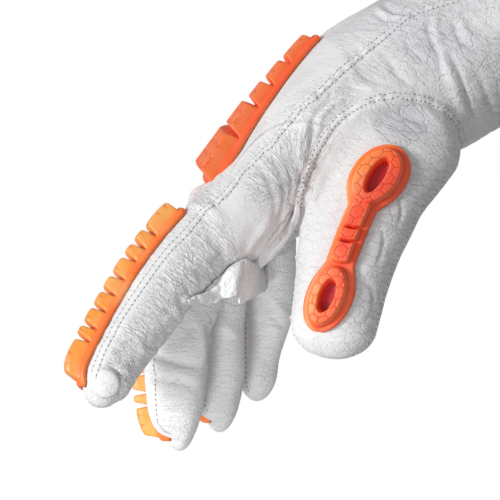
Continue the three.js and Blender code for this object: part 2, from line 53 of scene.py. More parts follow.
# The same limbs as the solids. Each row is at, pitch, wide, thick and lag: at is the distance along the limb,
# pitch its slope below the horizontal, wide its width across the knuckles, thick its depth, and lag draws the
# little finger's side back. power is how square the section is, cap the length of the rounded end, and start
# where the body begins and the length of the rounded end before it.
LIMBS = {
    "hand": {
        "power": 2.4,
        "cap": 11,
        "start": (0, 0),
        "rows": [
            (0, 30, 98, 72, 0),
            (40, 30, 92, 70, 0),
            (72, 29, 88, 69, 0),
            (89, 33, 86, 65, 0),
            (102, 46, 88, 58, 0),
            (118, 51, 93, 51, 2),
            (138, 53, 98, 48, 7),
            (156, 54, 100, 47, 13),
            (170, 52, 100, 44, 17),
            (184, 46, 99, 39, 21),
            (194, 44, 97, 35, 23),
        ],
    },
    "index": {
        "base": (-131, -36, -86.8),
        "yaw": 13,
        "cap": 13,
        "rows": [
            (0, 42, 24, 31, 0),
            (20, 43, 25, 29.5, 0),
            (38, 50, 25, 27, 0),
            (54, 57, 24.5, 25.5, 0),
            (72, 57, 23.5, 23.5, 0),
            (88, 61, 22, 20.6, 0),
            (101, 68, 20.5, 17.8, 0),
        ],
    },
    "middle": {
        "base": (-134, -12, -90),
        "yaw": 3,
        "cap": 18,
        "rows": [
            (0, 54, 23.4, 28, 0),
            (28, 60, 23.4, 27, 0),
            (46, 74, 23.4, 26, 0),
            (58, 88, 23.4, 24.5, 0),
            (74, 90, 23, 22.3, 0),
            (90, 90, 21.5, 18, 0),
            (102, 92, 19.5, 15, 0),
        ],
    },
    "ring": {
        "base": (-131, 12, -88),
        "yaw": 0,
        "cap": 18,
        "rows": [
            (0, 62, 23.4, 27, 0),
            (22, 72, 23.4, 26, 0),
            (40, 82, 23.4, 25, 0),
            (52, 93, 23.2, 24, 0),
            (70, 93, 22.5, 21.5, 0),
            (84, 90, 21, 18, 0),
            (95, 89, 19.5, 15.5, 0),
        ],
    },
    "little": {
        "base": (-126, 35, -86.5),
        "yaw": -2,
        "cap": 12,
        "rows": [
            (0, 84, 22, 24, 0),
            (20, 92, 22, 23.5, 0),
            (36, 91, 21.6, 21.8, 0),
            (50, 89, 21, 20, 0),
            (66, 88, 20, 17.8, 0),
            (83, 88, 18.5, 15.5, 0),
        ],
    },
    "thumb": {
        "base": (-61, -31, -40),
        "yaw": 6,
        "roll": 76,
        "power": 2.3,
        "cap": 12,
        "start": (26, 26),
        "rows": [
            (0, 52, 60, 34, 0),
            (30, 62, 57, 33, 0),
            (52, 72, 48, 31, 0),
            (72, 77, 41.5, 28.5, 0),
            (92, 79, 36.5, 25.5, 0),
            (115.5, 80, 32, 22, 0),
        ],
    },
}
FINGERS = ("index", "middle", "ring", "little")

# Mesh spacing on each limb, and the leather's thickness
SPACING = {"hand": 1.0, "thumb": 0.8, "index": 0.66, "middle": 0.8, "ring": 0.85, "little": 0.87}
WALL = 2.0
# How far a finger's or thumb's leather runs on under the hand's
LAP = 1.6
# How many rounds a grid is moved in onto the blended surface, and how far at most in each
BLEND_ROUNDS = 5
BLEND_MOVE = 2.5
# How broadly each limb runs into the hand
BLEND = {"thumb": 7, "index": 9, "middle": 7, "ring": 7, "little": 7}


def smoothstep(low, high, value):
    t = np.clip((value - low) / (high - low), 0, 1)
    return t * t * (3 - 2 * t)


def unit(v):
    return v / np.maximum(np.linalg.norm(v, axis=-1, keepdims=True), 1e-9)


def hashed(ix, iy, iz, seed):
    n = (ix * 374761393 + iy * 668265263 + iz * 1442695041 + seed * 1274126177) & 0xFFFFFFFF
    n = ((n ^ (n >> 13)) * 1274126177) & 0xFFFFFFFF
    return (n ^ (n >> 16)) / 0xFFFFFFFF


# Smooth noise between -1 and 1 at points, with features about scale across.
def noise(points, scale, seed=0):
    q = points / np.asarray(scale, float)
    cell = np.floor(q).astype(np.int64)
    f = q - cell
    u = f * f * f * (f * (f * 6 - 15) + 10)
    total = 0
    for dx in (0, 1):
        for dy in (0, 1):
            for dz in (0, 1):
                corner = np.array((dx, dy, dz))
                weight = np.where(corner, u, 1 - u).prod(1)
                total = total + weight * hashed(*(cell + corner).T, seed)
    return total * 2 - 1


# A table's other columns at places in its first, on a smooth curve through its rows.
def smooth_rows(rows, at):
    x = rows[:, 0]
    v = rows[:, 1:]
    at = np.clip(at, x[0], x[-1])
    i = np.clip(np.searchsorted(x, at, side="left") - 1, 0, len(x) - 2)
    before = np.maximum(i - 1, 0)
    after = np.minimum(i + 2, len(x) - 1)
    span = (x[i + 1] - x[i])[:, None]
    t = (at - x[i])[:, None] / span
    slope = (v[i + 1] - v[before]) / (x[i + 1] - x[before])[:, None] * span
    next_slope = (v[after] - v[i]) / (x[after] - x[i])[:, None] * span
    t2 = t * t
    t3 = t2 * t
    from_start = (2 * t3 - 3 * t2 + 1) * v[i] + (t3 - 2 * t2 + t) * slope
    return from_start + (3 * t2 - 2 * t3) * v[i + 1] + (t3 - t2) * next_slope


def distance_along(line):
    return np.concatenate([[0], np.cumsum(np.linalg.norm(np.diff(line, axis=0), axis=1))])


# Points step apart along a smooth curve through points.
def curve_through(points, step):
    points = np.array(points, float)
    run = distance_along(points)
    return smooth_rows(np.hstack([run[:, None], points]), np.arange(0, run[-1], step))


# The faces between rows of points, with columns points in each.
def grid_faces(rows, columns, round_about=False):
    ends = columns if round_about else columns - 1
    r, k = np.meshgrid(np.arange(rows - 1), np.arange(ends), indexing="ij")
    a = (r * columns + k).ravel()
    b = (r * columns + (k + 1) % columns).ravel()
    return np.stack([a, b, b + columns, a + columns], 1)


# Distance between the sections that a limb is sampled at
STEP = 0.5


# A limb's line and sections, sampled closely, and where points lie in them.
class Limb:
    def __init__(self, spec):
        rows = np.array(spec["rows"], float)
        self.power = spec.get("power", 2.2)
        self.cap = spec["cap"]
        self.start, self.start_cap = spec.get("start", (6, 20))
        self.length = rows[-1, 0]
        self.body = self.length - self.cap
        self.at = np.linspace(0, self.length, int(self.length / STEP) + 1)
        pitch, wide, thick, lag = smooth_rows(rows, self.at).T
        self.half_wide = wide / 2
        self.half_thick = thick / 2
        pitch = np.radians(pitch)
        yaw = math.radians(spec.get("yaw", 0))
        roll = math.radians(spec.get("roll", 0))
        sideways = np.full_like(pitch, -math.sin(yaw))
        along = np.stack([-np.cos(pitch) * math.cos(yaw), sideways, -np.sin(pitch) * math.cos(yaw)], 1)
        up = np.stack([-np.sin(pitch), 0 * pitch, np.cos(pitch)], 1)
        back = up * math.cos(roll) - np.cross(along, up) * math.sin(roll)
        step = np.diff(self.at)[:, None] * (along[1:] + along[:-1]) / 2
        start = np.array(spec["base"], float) if "base" in spec else back[0] * self.half_thick[0]
        line = start + np.vstack([np.zeros(3), np.cumsum(step, 0)])
        self.centre = line if "base" in spec else line - back * self.half_thick[:, None]
        sizes = np.stack([self.half_wide, self.half_thick, lag], 1)
        self.table = np.hstack([self.centre, along, back, np.cross(along, back), sizes])

    # The section's centre, axes, half sizes and lag at distances that may run past either end.
    def section(self, t):
        share = np.clip(t / self.length, 0, 1) * (len(self.at) - 1)
        i = np.minimum(share.astype(int), len(self.at) - 2)
        f = (share - i)[:, None]
        row = self.table[i] * (1 - f) + self.table[i + 1] * f
        centre, along, back, side = np.split(row[:, :12], 4, axis=1)
        past = (t - np.clip(t, 0, self.length))[:, None]
        return centre + along * past, along, back, side, row[:, 12], row[:, 13], row[:, 14]

    # How far past its body and before its start distances are, as shares of the two rounded ends.
    def past_ends(self, t):
        past = np.maximum(0, (t - self.body) / self.cap)
        before = np.maximum(0, (self.start - t) / self.start_cap) if self.start_cap else 0 * t
        return past, before

    def place(self, t, x, y):
        centre, along, back, side, wide, _, lag = self.section(t)
        share = np.clip((x / np.maximum(wide, 1) + 1) / 2, 0, 1)
        return centre + side * x[:, None] + back * y[:, None] - along * (lag * share * share)[:, None]

    # The distance along the limb and the place in the section for each point.
    def local(self, points, t=None):
        rounds = 3
        if t is None:
            coarse = self.centre[::8]
            apart = (points**2).sum(1)[:, None] + (coarse**2).sum(1) - 2 * points @ coarse.T
            t = self.at[::8][np.argmin(apart, 1)]
            rounds = 8
        for _ in range(rounds):
            centre, along, back, side, wide, thick, lag = self.section(t)
            away = points - centre
            share = np.clip(((away * side).sum(1) / wide + 1) / 2, 0, 1)
            t = t + 0.9 * ((away * along).sum(1) + lag * share * share)
        centre, _, back, side, wide, thick, _ = self.section(t)
        away = points - centre
        return t, (away * side).sum(1), (away * back).sum(1), wide, thick

    # About how far each point is outside the limb's surface.
    def distance(self, points, t=None):
        t, x, y, wide, thick = self.local(points, t)
        n = (np.abs(x / wide) ** self.power + np.abs(y / thick) ** self.power) ** (1 / self.power)
        past, before = self.past_ends(t)
        f = np.sqrt(n * n + past**2 + before**2)
        radius = np.sqrt(x * x + y * y + (past * self.cap) ** 2 + (before * self.start_cap) ** 2)
        return radius * (1 - 1 / np.maximum(f, 1e-6)), t

    # Angles round the section that are evenly spaced.
    def angles(self, spacing):
        dense = np.linspace(0, 2 * math.pi, 1441)
        run = distance_along(np.stack(self.rim(dense, self.half_wide.max(), self.half_thick.max()), 1))
        return np.interp(np.linspace(0, run[-1], int(run[-1] / spacing), endpoint=False), run, dense)

    def rim(self, angle, wide, thick):
        c, s = (np.sign(v) * np.abs(v) ** (2 / self.power) for v in (np.cos(angle), np.sin(angle)))
        return c * wide, s * thick

    # The plain surface as a grid of rings, with the last ring closed to a point.
    def grid(self, spacing):
        angles = self.angles(spacing)
        n = len(angles)
        runs = []
        if self.start_cap:
            turn = np.arange(0.2, math.pi / 2, spacing / self.start_cap)
            runs.append(self.start - self.start_cap * np.cos(turn))
        runs.append(np.linspace(self.start, self.body, int((self.body - self.start) / spacing) + 1)[:-1])
        deep = max(self.cap, self.half_thick[-1])
        turn = np.linspace(0, math.pi / 2, int(deep * math.pi / 2 / spacing) + 1)
        runs.append(self.body + self.cap * np.sin(turn))
        t = np.concatenate(runs)
        past, before = self.past_ends(t)
        shrink = np.sqrt(np.maximum(0, 1 - past**2 - before**2))
        shrink[-1] = 0.02
        _, _, _, _, wide, thick, _ = self.section(t)
        ts = np.repeat(t, n)
        angle = np.tile(angles, len(t))
        points = self.place(ts, *self.rim(angle, np.repeat(wide * shrink, n), np.repeat(thick * shrink, n)))
        quads = grid_faces(len(t), n, True)[:, [0, 3, 2, 1]]
        last = len(points) - n + np.arange(n)
        fan = np.stack([last, np.full(n, len(points)), np.roll(last, -1)], 1)
        points = np.vstack([points, points[-n:].mean(0)])
        faces = np.vstack([quads[:, [0, 1, 2]], quads[:, [0, 2, 3]], fan])
        return points, faces, np.append(ts, ts[-1]), np.append(angle, math.pi / 2)


limbs = {name: Limb(spec) for name, spec in LIMBS.items()}


def vertex_normals(points, faces):
    tri = points[faces]
    normal = np.cross(tri[:, 1] - tri[:, 0], tri[:, 2] - tri[:, 0])
    total = np.zeros_like(points)
    for k in range(3):
        np.add.at(total, faces[:, k], normal)
    return unit(total)


# The lower of two values, rounded where they meet.
def soft_min(a, b, k):
    h = np.maximum(k - np.abs(a - b), 0) / k
    return np.minimum(a, b) - h * h * k / 4


def soft_max(a, b, k):
    return -soft_min(-a, -b, k)


# How far points are outside a limb blended into those it runs into, outside it alone, and outside the others.
# known keeps how far along each limb the points were found.
def field(name, points, known):
    own, known[name] = limbs[name].distance(points, known.get(name))
    value = own
    nearest = np.full(len(points), 1e9)
    for other in BLEND if name == "hand" else ("hand",):
        d, known[other] = limbs[other].distance(points, known.get(other))
        value = soft_min(value, d, BLEND[other if name == "hand" else name])
        nearest = np.minimum(nearest, d)
    return value, own, nearest


# A limb's grid moved out along its normals onto the surface that blends into its neighbours.
def blended(name):
    limb = limbs[name]
    points, faces, t, angle = limb.grid(SPACING[name])
    normals = vertex_normals(points, faces)
    known = {}
    moved = points.copy()
    for _ in range(BLEND_ROUNDS):
        value, _, _ = field(name, moved, known)
        moved = moved - normals * np.clip(value, -BLEND_MOVE, BLEND_MOVE)[:, None]
    _, own, nearest = field(name, moved, known)
    return {
        "name": name,
        "points": moved,
        "faces": faces,
        "normals": vertex_normals(moved, faces),
        "t": t,
        "angle": angle,
        "edge": own - nearest,
    }


base = {name: blended(name) for name in LIMBS}


# A search tree over the surfaces of several meshes, each a pair of points and faces.
def tree_of(meshes):
    points = [Vector(p) for found, _ in meshes for p in found]
    starts = np.cumsum([0] + [len(found) for found, _ in meshes])
    faces = [face for (_, found), start in zip(meshes, starts) for face in (found + start).tolist()]
    return BVHTree.FromPolygons(points, faces)


base_tree = tree_of([(part["points"], part["faces"]) for part in base.values()])


# The eye of the view, and a point on the plane y = VIEW_PLANE that its sight line through a pixel meets.
EYE = np.array((VIEW_CENTRE[0], VIEW_PLANE - VIEW_DISTANCE, VIEW_CENTRE[1]))


def on_plane(px, py):
    x = VIEW_CENTRE[0] + (px - IMAGE / 2) * PIXEL
    return np.array((x, VIEW_PLANE, VIEW_CENTRE[1] - (py - IMAGE / 2) * PIXEL))


# Where the sight line through a pixel of the photograph meets the surface.
def seen(px, py):
    return base_tree.ray_cast(Vector(EYE), Vector(on_plane(px, py) - EYE).normalized())[0]


# A sight line that lands further than this from the one before it has slipped off the limb, and is left out.
LONGEST_JUMP = 9


# Evens out a row of values, all but its ends.
def smooth_out(values, rounds):
    for _ in range(rounds):
        values[1:-1] = (values[:-2] + 2 * values[1:-1] + values[2:]) / 4


# A line on the surface that runs under pixels of the photograph.
def seen_line(pixels, step=1.0):
    found = [seen(px, py) for px, py in curve_through(pixels, 2.0)]
    found = [tuple(p) for p in found if p is not None]
    kept = [found[0]]
    for p in found[1:]:
        if math.dist(p, kept[-1]) < LONGEST_JUMP:
            kept.append(p)
    line = curve_through(kept, step)
    smooth_out(line, 3)
    return line


# A line on a limb at a share of its half thickness, from one distance to another.
def limb_line(name, start, end, level, near):
    limb = limbs[name]
    t = np.arange(start, end, 1.0)
    angle = math.asin(abs(level) ** (limb.power / 2)) * (1 if level >= 0 else -1)
    angle = math.pi - angle if near else angle
    past = np.maximum(0, (t - limb.body) / limb.cap)
    shrink = np.sqrt(np.maximum(0, 1 - past**2))
    _, _, _, _, wide, thick, _ = limb.section(t)
    x, y = limb.rim(np.full(len(t), angle), wide * shrink, thick * shrink)
    return limb.place(t, x, y)


# The two seams that the photograph shows well
SEAM_PIXELS = {
    "back": [
        (420, 10), (406, 17.5), (374, 43), (340, 72), (319, 92.5), (300, 109), (284, 127), (272, 144),
        (263, 151), (256.5, 158), (247, 165), (240, 173), (233.7, 182), (228, 189), (221, 197), (212, 204),
        (203, 210.5), (194.5, 221), (186, 232), (173, 245), (161, 259), (150, 274), (141, 287), (130, 303),
        (118.5, 320.5), (108, 340), (100, 356), (94, 372), (91, 384),
    ],
    "thumb": [
        (297, 212), (299, 200), (303, 186), (309, 170), (317, 151), (328, 132), (340, 118), (355, 107),
        (376, 99), (398, 96), (418, 97.5), (437, 104), (451, 115), (460, 129), (463, 143), (462, 152),
    ],
}


def joined(*lines):
    return curve_through(np.vstack(lines), 1.0)


# How high on the far side the seam between the hand's back and palm runs, as a share of the half thickness
FAR_LEVEL = 0.45
# Where the seam on the middle finger's near side starts and ends
MIDDLE_SEAM = (48, 94)


# A sewn seam: its line, how many rows of stitches it has, how far apart they are, and the distance between
# stitches.
def sewn(line, rows=1, apart=0, pitch=2.1):
    return {"line": line, "rows": rows, "apart": apart, "pitch": pitch}


def finger_seam(name, near):
    return sewn(limb_line(name, 30, limbs[name].length - 1, 0.6, near))


back_seam = sewn(joined(limb_line("hand", 1, 45, 0.52, True), seen_line(SEAM_PIXELS["back"])), 2, 2.76, 2.05)
middle_seam = sewn(limb_line("middle", *MIDDLE_SEAM, 0.3, True), pitch=2.0)
seams = [
    back_seam,
    sewn(seen_line(SEAM_PIXELS["thumb"]), 2, 2.5, 1.9),
    middle_seam,
    sewn(limb_line("hand", 1, 184, FAR_LEVEL, False), 2, 2.76),
    sewn(limb_line("index", 30, 100, 0.55, False)),
    sewn(limb_line("thumb", 30, 115, 0.18, True), pitch=2.0),
    sewn(limb_line("thumb", 60, 115, 0.18, False), pitch=2.0),
    *[finger_seam(name, False) for name in ("middle", "ring", "little")],
    *[finger_seam(name, True) for name in ("ring", "little")],
]


# Each point's distance to a line and its share of the way along it.
def to_line(points, line):
    low = line.min(0) - 14
    high = line.max(0) + 14
    inside = np.flatnonzero(((points > low) & (points < high)).all(1))
    apart = np.full(len(points), 99.0)
    share = np.zeros(len(points))
    a = line[:-1]
    d = line[1:] - a
    size = (d * d).sum(1)
    for start in range(0, len(inside), 20000):
        some = inside[start : start + 20000]
        p = points[some]
        u = np.clip((p @ d.T - (a * d).sum(1)) / size, 0, 1)
        near = (p * p).sum(1)[:, None] + (a * a).sum(1) - 2 * p @ a.T
        near = near - 2 * u * (p @ d.T - (a * d).sum(1)) + u * u * size
        k = np.argmin(near, 1)
        apart[some] = np.sqrt(np.maximum(near[np.arange(len(some)), k], 0))
        share[some] = (k + u[np.arange(len(some)), k]) / len(a)
    return apart, share


# Folds and creases under pixels of the photograph. Each row is the half width and the height, in millimetres
# and negative for a crease, and then x and y of each pixel in turn.
FOLDS = (
    (1.3, -1.5, (295, 210, 289, 228, 278, 241, 266, 253, 254, 263)),
    (1.6, 1.2, (291, 205, 281, 226, 270, 240, 258, 254, 249, 264)),
    (1.2, -0.9, (283, 212, 272, 229, 262, 241, 251, 256)),
    (2.0, 0.9, (274, 214, 264, 229, 254, 243, 246, 258)),
    (1.0, 0.7, (372, 92, 360, 94.4, 347, 97.5, 335.6, 103.6, 328, 109, 321, 118, 318.8, 128, 316, 140)),
    (0.9, -0.7, (331, 90.6, 329.5, 99.8, 325, 106, 317, 113.6, 312.7, 121, 312, 135, 309.6, 146.5, 307, 158)),
    (3.2, 0.9, (318, 108, 309, 122, 302, 140, 300, 156, 301, 172, 297, 192)),
    (1.0, -0.7, (290, 142, 295, 153, 299, 166, 300, 180, 296, 200)),
    (1.0, -0.6, (279, 146, 287, 160, 291, 174, 292, 190, 288, 208)),
    (1.0, -0.6, (268, 154, 277, 168, 283, 184, 284, 200, 279, 216)),
    (1.2, -0.6, (256, 163, 266, 178, 273, 194, 275, 210, 270, 226)),
    (2.4, 0.7, (330, 165, 322, 180, 315, 200, 311, 222)),
    (1.8, 1.4, (340, 124, 356, 114, 376, 107, 400, 105, 424, 110, 442, 122)),
    (5.5, -2.8, (372, 126, 390, 118, 408, 118, 424, 124, 434, 136)),
    (1.2, 0.8, (384, 128, 398, 121, 412, 122, 424, 131)),
    (0.9, -1.3, (446, 46, 456, 66, 464, 88, 470, 108, 476, 128)),
    (2.2, 1.2, (438, 48, 448, 68, 456, 90, 462, 108, 467, 122)),
    (1.0, -0.9, (470, 60, 480, 80, 488, 100, 494, 122)),
    (1.2, -1.1, (430, 14, 428, 30, 434, 44, 440, 62, 444, 80)),
    (1.6, 0.9, (436, 12, 436, 30, 444, 44)),
    (1.1, -1.0, (380, 54, 392, 66, 400, 78, 412, 86, 428, 90)),
    (1.2, -1.2, (452, 20, 458, 36, 468, 48, 484, 54)),
    (1.6, 1.0, (460, 18, 466, 32, 478, 42, 492, 46)),
    (1.1, -0.9, (404, 40, 412, 52, 424, 60, 440, 64)),
    (1.4, -0.7, (352, 60, 360, 72, 372, 80, 390, 84)),
    (1.6, 0.7, (349, 78, 362, 86, 380, 89, 396, 86)),
    (1.2, -1.3, (382, 2, 388, 8, 398, 12, 412, 12)),
    (1.2, -1.1, (372, 10, 384, 18, 398, 20)),
    (1.4, 0.9, (376, 6, 386, 13, 398, 16, 410, 16)),
    (1.6, -0.8, (186, 210, 196, 214, 206, 220, 214, 230)),
    (2.2, 0.9, (190, 203, 204, 206, 216, 214, 226, 226)),
    (3.4, 1.6, (193, 194, 200, 193, 208, 193, 216, 191)),
    (1.1, -1.5, (97, 369, 108, 366.5, 117, 370, 122, 379, 122, 390, 116, 399)),
    (1.8, -1.4, (200, 326, 190, 334, 183, 346, 180, 360)),
    (2.6, 1.3, (198, 316, 202, 332, 204, 352, 200, 376)),
    (1.6, -1.2, (164, 350, 180, 360, 194, 366, 206, 364)),
    (1.5, -0.9, (158, 376, 172, 378, 188, 384, 198, 392)),
    (2.0, 0.8, (166, 364, 178, 370, 192, 375)),
    (1.6, -1.1, (212, 318, 218, 332, 230, 342, 240, 350)),
    (2.0, 0.9, (220, 316, 228, 328, 238, 338)),
    (1.4, -0.9, (258, 292, 264, 306, 272, 318, 280, 330)),
    (1.4, 0.7, (264, 290, 272, 304, 282, 318)),
    (1.0, -0.9, (376, 222, 384, 236, 382, 252, 376, 268)),
    (1.0, -0.8, (356, 276, 368, 284, 374, 298, 372, 312)),
    (1.0, -0.7, (398, 196, 402, 212, 396, 230)),
    (1.3, -0.8, (340, 334, 352, 330, 364, 322, 374, 312)),
    (1.5, 0.7, (334, 340, 350, 337, 366, 330)),
)
folds = [(wide, high, seen_line(np.reshape(pixels, (-1, 2)))) for wide, high, pixels in FOLDS]

# Places that creases run towards, as pixels of the photograph, and how far they reach in millimetres.
FANS = [
    {"pixel": (300, 196), "reach": 40, "limbs": ("hand",)},
    {"pixel": (247, 272), "reach": 34, "limbs": ("hand", "index")},
]
for fan in FANS:
    fan["centre"] = np.array(seen(*fan["pixel"]))


# Coordinates for the leather's wrinkles: the first runs across them and the second along them.
def wrinkle_space(part):
    limb = limbs[part["name"]]
    arc = part["angle"] * (limb.half_wide.mean() + limb.half_thick.mean()) / 2
    if part["name"] == "hand":
        across = 0.75 * part["t"] + 0.5 * arc
        along = 0.75 * arc - 0.5 * part["t"]
    else:
        across = part["t"] + 0.05 * arc
        along = arc
    space = np.stack([across, along], 1)
    weight = np.zeros(len(arc))
    joint = np.ones(len(arc))
    for k, fan in enumerate(FANS):
        if part["name"] not in fan["limbs"]:
            continue
        away = part["points"] - fan["centre"]
        distance = np.linalg.norm(away, axis=1)
        turn = np.arctan2(away[:, 2], away[:, 0])
        turn = np.where(turn < -2.2, turn + 2 * math.pi, turn)
        share = (1 - smoothstep(0.45 * fan["reach"], fan["reach"], distance)) * smoothstep(3, 8, distance)
        fanned = np.stack([turn * 26 + 300 * (k + 1), distance], 1)
        space = np.where((share > 0.5)[:, None], fanned, space)
        joint = np.minimum(joint, smoothstep(0, 0.3, np.abs(share - 0.5)))
        weight = np.maximum(weight, share)
    return space, weight, joint


# Where the leather is stretched smooth, over the index fingertip and beside the thumb's seam: a pixel, and
# its reach, the width of its border and its rise in millimetres.
STRETCHED = (
    {"pixel": (106, 384), "reach": 6.5, "border": 1.5, "rise": 0.7},
    {"pixel": (280, 216), "reach": 13.0, "border": 9.0, "rise": 0.3},
)
for spot in STRETCHED:
    spot["centre"] = np.array(seen(*spot["pixel"]))


# The middle of the painted shade inside the thumb's curved seam, which also brings out cracks there
SHADE_UNDER_SEAM = np.array(seen(404, 124))


# How grey the leather is: painted shade on the thumb's outer side, where it is also rubbed, and under its
# curved seam; greyer towards the cuff; and a little in broad patches of wear.
def wear_and_shade_share(part):
    points = part["points"]
    wear_and_shade = 0.25 * smoothstep(0.1, 0.8, noise(points, 19, 31))
    if part["name"] == "hand":
        cuff = 1 - smoothstep(55, 100, part["t"])
        wear_and_shade = wear_and_shade + cuff * (0.6 + 0.35 * noise(points, 13, 32))
    if part["name"] == "thumb":
        centre, _, _, _, wide, _, _ = limbs["thumb"].section(part["t"])
        # Painted shade: greyer towards the thumb's side away from the key light
        wear_and_shade = np.maximum(wear_and_shade, 0.3 + 0.45 * smoothstep(0.0, 0.8, (points[:, 0] - centre[:, 0]) / wide))
        # Painted shade under the thumb's curved seam
        wear_and_shade = np.maximum(wear_and_shade, 1 - smoothstep(4, 17, np.linalg.norm(points - SHADE_UNDER_SEAM, axis=1)))
    return np.clip(wear_and_shade, 0, 1)


# How much each point is under a guard, where the leather lies flat.
GUARD_COVER = {
    "hand": {"from": 97, "to": 174, "half": 40},
    "index": {"from": 20, "to": 98, "half": 10},
    "middle": {"from": 23, "to": 99, "half": 6},
    "ring": {"from": 22, "to": 91, "half": 6},
    "little": {"from": 20, "to": 76, "half": 8},
    "thumb": {"from": 29, "to": 108, "half": 12},
}


def under_guard(part):
    cover = GUARD_COVER[part["name"]]
    t, x, y, _, thick = limbs[part["name"]].local(part["points"], part["t"])
    start, end = cover["from"], cover["to"]
    along = smoothstep(start - 3, start + 1, t) * (1 - smoothstep(end, end + 4, t))
    beside = 1 - smoothstep(cover["half"], cover["half"] + 5, np.abs(x))
    return along * beside * smoothstep(-0.05, 0.5, y / thick) * smoothstep(0, 8, -part["edge"])


# How far the leather bulges beside the guards of the fingers behind, and where along them it does.
PLUMP = {"middle": {"high": 6.0, "from": 36, "to": 95}, "ring": {"high": 4.5, "from": 50, "to": 88}}


def plump(part):
    row = PLUMP.get(part["name"])
    if row is None:
        return 0
    t, x, y, wide, thick = limbs[part["name"]].local(part["points"], part["t"])
    near = smoothstep(0.6, 0.8, -x / wide) * smoothstep(-0.7, 0.3, y / thick)
    along = smoothstep(row["from"] - 16, row["from"], t) * (1 - smoothstep(row["to"], row["to"] + 12, t))
    _, _, back, _, _, _, _ = limbs[part["name"]].section(part["t"])
    return back * (row["high"] * near * along)[:, None]


along_middle = np.arange(*MIDDLE_SEAM, 1.0)
middle_seam["shift"] = plump({"name": "middle", "points": middle_seam["line"], "t": along_middle})

# How deep each limb's wrinkles are, and how much deeper where they fan out
WRINKLE_DEPTH = {"hand": 0.24, "thumb": 0.1, "index": 0.6, "middle": 0.2, "ring": 0.2, "little": 0.2}
FAN_DEPTH = 0.09
# A seam's ridge between its rows, the grooves beside them and its puckers
SEAM_RIDGE = 0.35
SEAM_GROOVE = 0.45
PUCKER = 0.5
# The turned hem's height and where it ends, and the fullness of the little finger on its palm side
HEM = {"high": 1.1, "from": 13.2, "to": 14.2}
LITTLE_BULGE = 4.6
# Under a guard the leather rises no higher than a limit, and keeps a share of its height.
FLAT_LIMIT = 0.3
FLAT_SHARE = 0.35


# How far the leather stands out from the plain surface.
def relief(part):
    points = part["points"]
    space, fanned, joint = wrinkle_space(part)
    flat = np.stack([space[:, 0], space[:, 1], points[:, 1] * 0.2], 1)
    free = 1 - under_guard(part)
    # Broad unevenness, then two sizes of wrinkles with narrow creases between them
    height = 0.55 * noise(points, 24, 1) + 0.32 * noise(points, 11, 2)
    warp = np.stack([noise(points, 7, 3), noise(points, 7, 4), 0 * fanned], 1)
    wrinkles = noise(flat + 2.4 * warp, (3.6, 13, 9), 5)
    fine = noise(flat + 1.2 * warp, (2.0, 6, 7), 6)
    creases = wrinkles + 0.5 * fine - np.exp(-((wrinkles / 0.2) ** 2)) - 0.6 * np.exp(-((fine / 0.28) ** 2))
    patch = 0.6 + 0.5 * noise(points, 17, 8)
    # Wrinkles fade out where limbs meet, and give way to a small unevenness that both limbs have there
    inner = smoothstep(0, 7, -part["edge"])
    wrinkled = (WRINKLE_DEPTH[part["name"]] * patch + FAN_DEPTH * fanned) * creases * inner
    shared = 0.2 * noise(points, 4.2, 9) * (1 - inner)
    # Seams, with less wrinkled leather beside them
    smooth = np.ones(len(points))
    seam_height = np.zeros(len(points))
    for seam in seams:
        apart, share = to_line(points, seam["line"])
        half = seam["apart"] / 2
        ridge = SEAM_RIDGE * np.exp(-((apart / max(half, 1.0)) ** 2))
        groove = -SEAM_GROOVE * np.exp(-(((apart - half - 0.3) / 0.9) ** 2))
        along = share * len(seam["line"])
        pucker = PUCKER * noise(np.stack([along, apart, 0 * along], 1), (2.4, 5, 1), 12)
        seam_height += ridge + groove + pucker * np.exp(-((apart / (half + 2.2)) ** 2))
        smooth = np.minimum(smooth, smoothstep(half, half + 3.5, apart) * 0.7 + 0.3)
    # Folds that rise and fall along their length
    fold_height = np.zeros(len(points))
    for wide, high, line in folds:
        apart, share = to_line(points, line)
        taper = np.sin(np.clip(share, 0.02, 0.98) * math.pi) ** 0.6
        fold_height += high * taper * np.exp(-((apart / wide) ** 2))
    # Stretched spots and the tip are smooth
    limb = limbs[part["name"]]
    raised = np.zeros(len(points))
    for spot in STRETCHED:
        away = np.linalg.norm(points - spot["centre"], axis=1)
        bare = 1 - smoothstep(spot["reach"] - spot["border"], spot["reach"], away)
        smooth = smooth * (1 - 0.9 * bare)
        raised += spot["rise"] * bare
    smooth = smooth * (1 - 0.9 * smoothstep(0.6, 0.93, (part["t"] - limb.body) / limb.cap))
    height = height + (wrinkled + shared) * smooth + seam_height + fold_height + raised
    if part["name"] == "little":
        _, _, y, _, thick = limbs["little"].local(points, part["t"])
        bulge = LITTLE_BULGE * smoothstep(-0.1, 0.7, -y / thick) * (1 - smoothstep(44, 70, part["t"]))
        height += bulge * smoothstep(-2, 7, -part["edge"])
    if part["name"] == "hand":
        hem = HEM["high"] * (1 - smoothstep(HEM["from"], HEM["to"], part["t"]))
        lip = -1.6 * (1 - np.sqrt(np.clip(part["t"] / 2.0, 0, 1)))
        height = height * smoothstep(0, 16, part["t"]) + hem + lip
    height = height * free + np.minimum(height, FLAT_LIMIT) * (1 - free) * FLAT_SHARE
    return height, space, joint * (0.15 + 0.85 * smooth) * (0.3 + 0.7 * free)


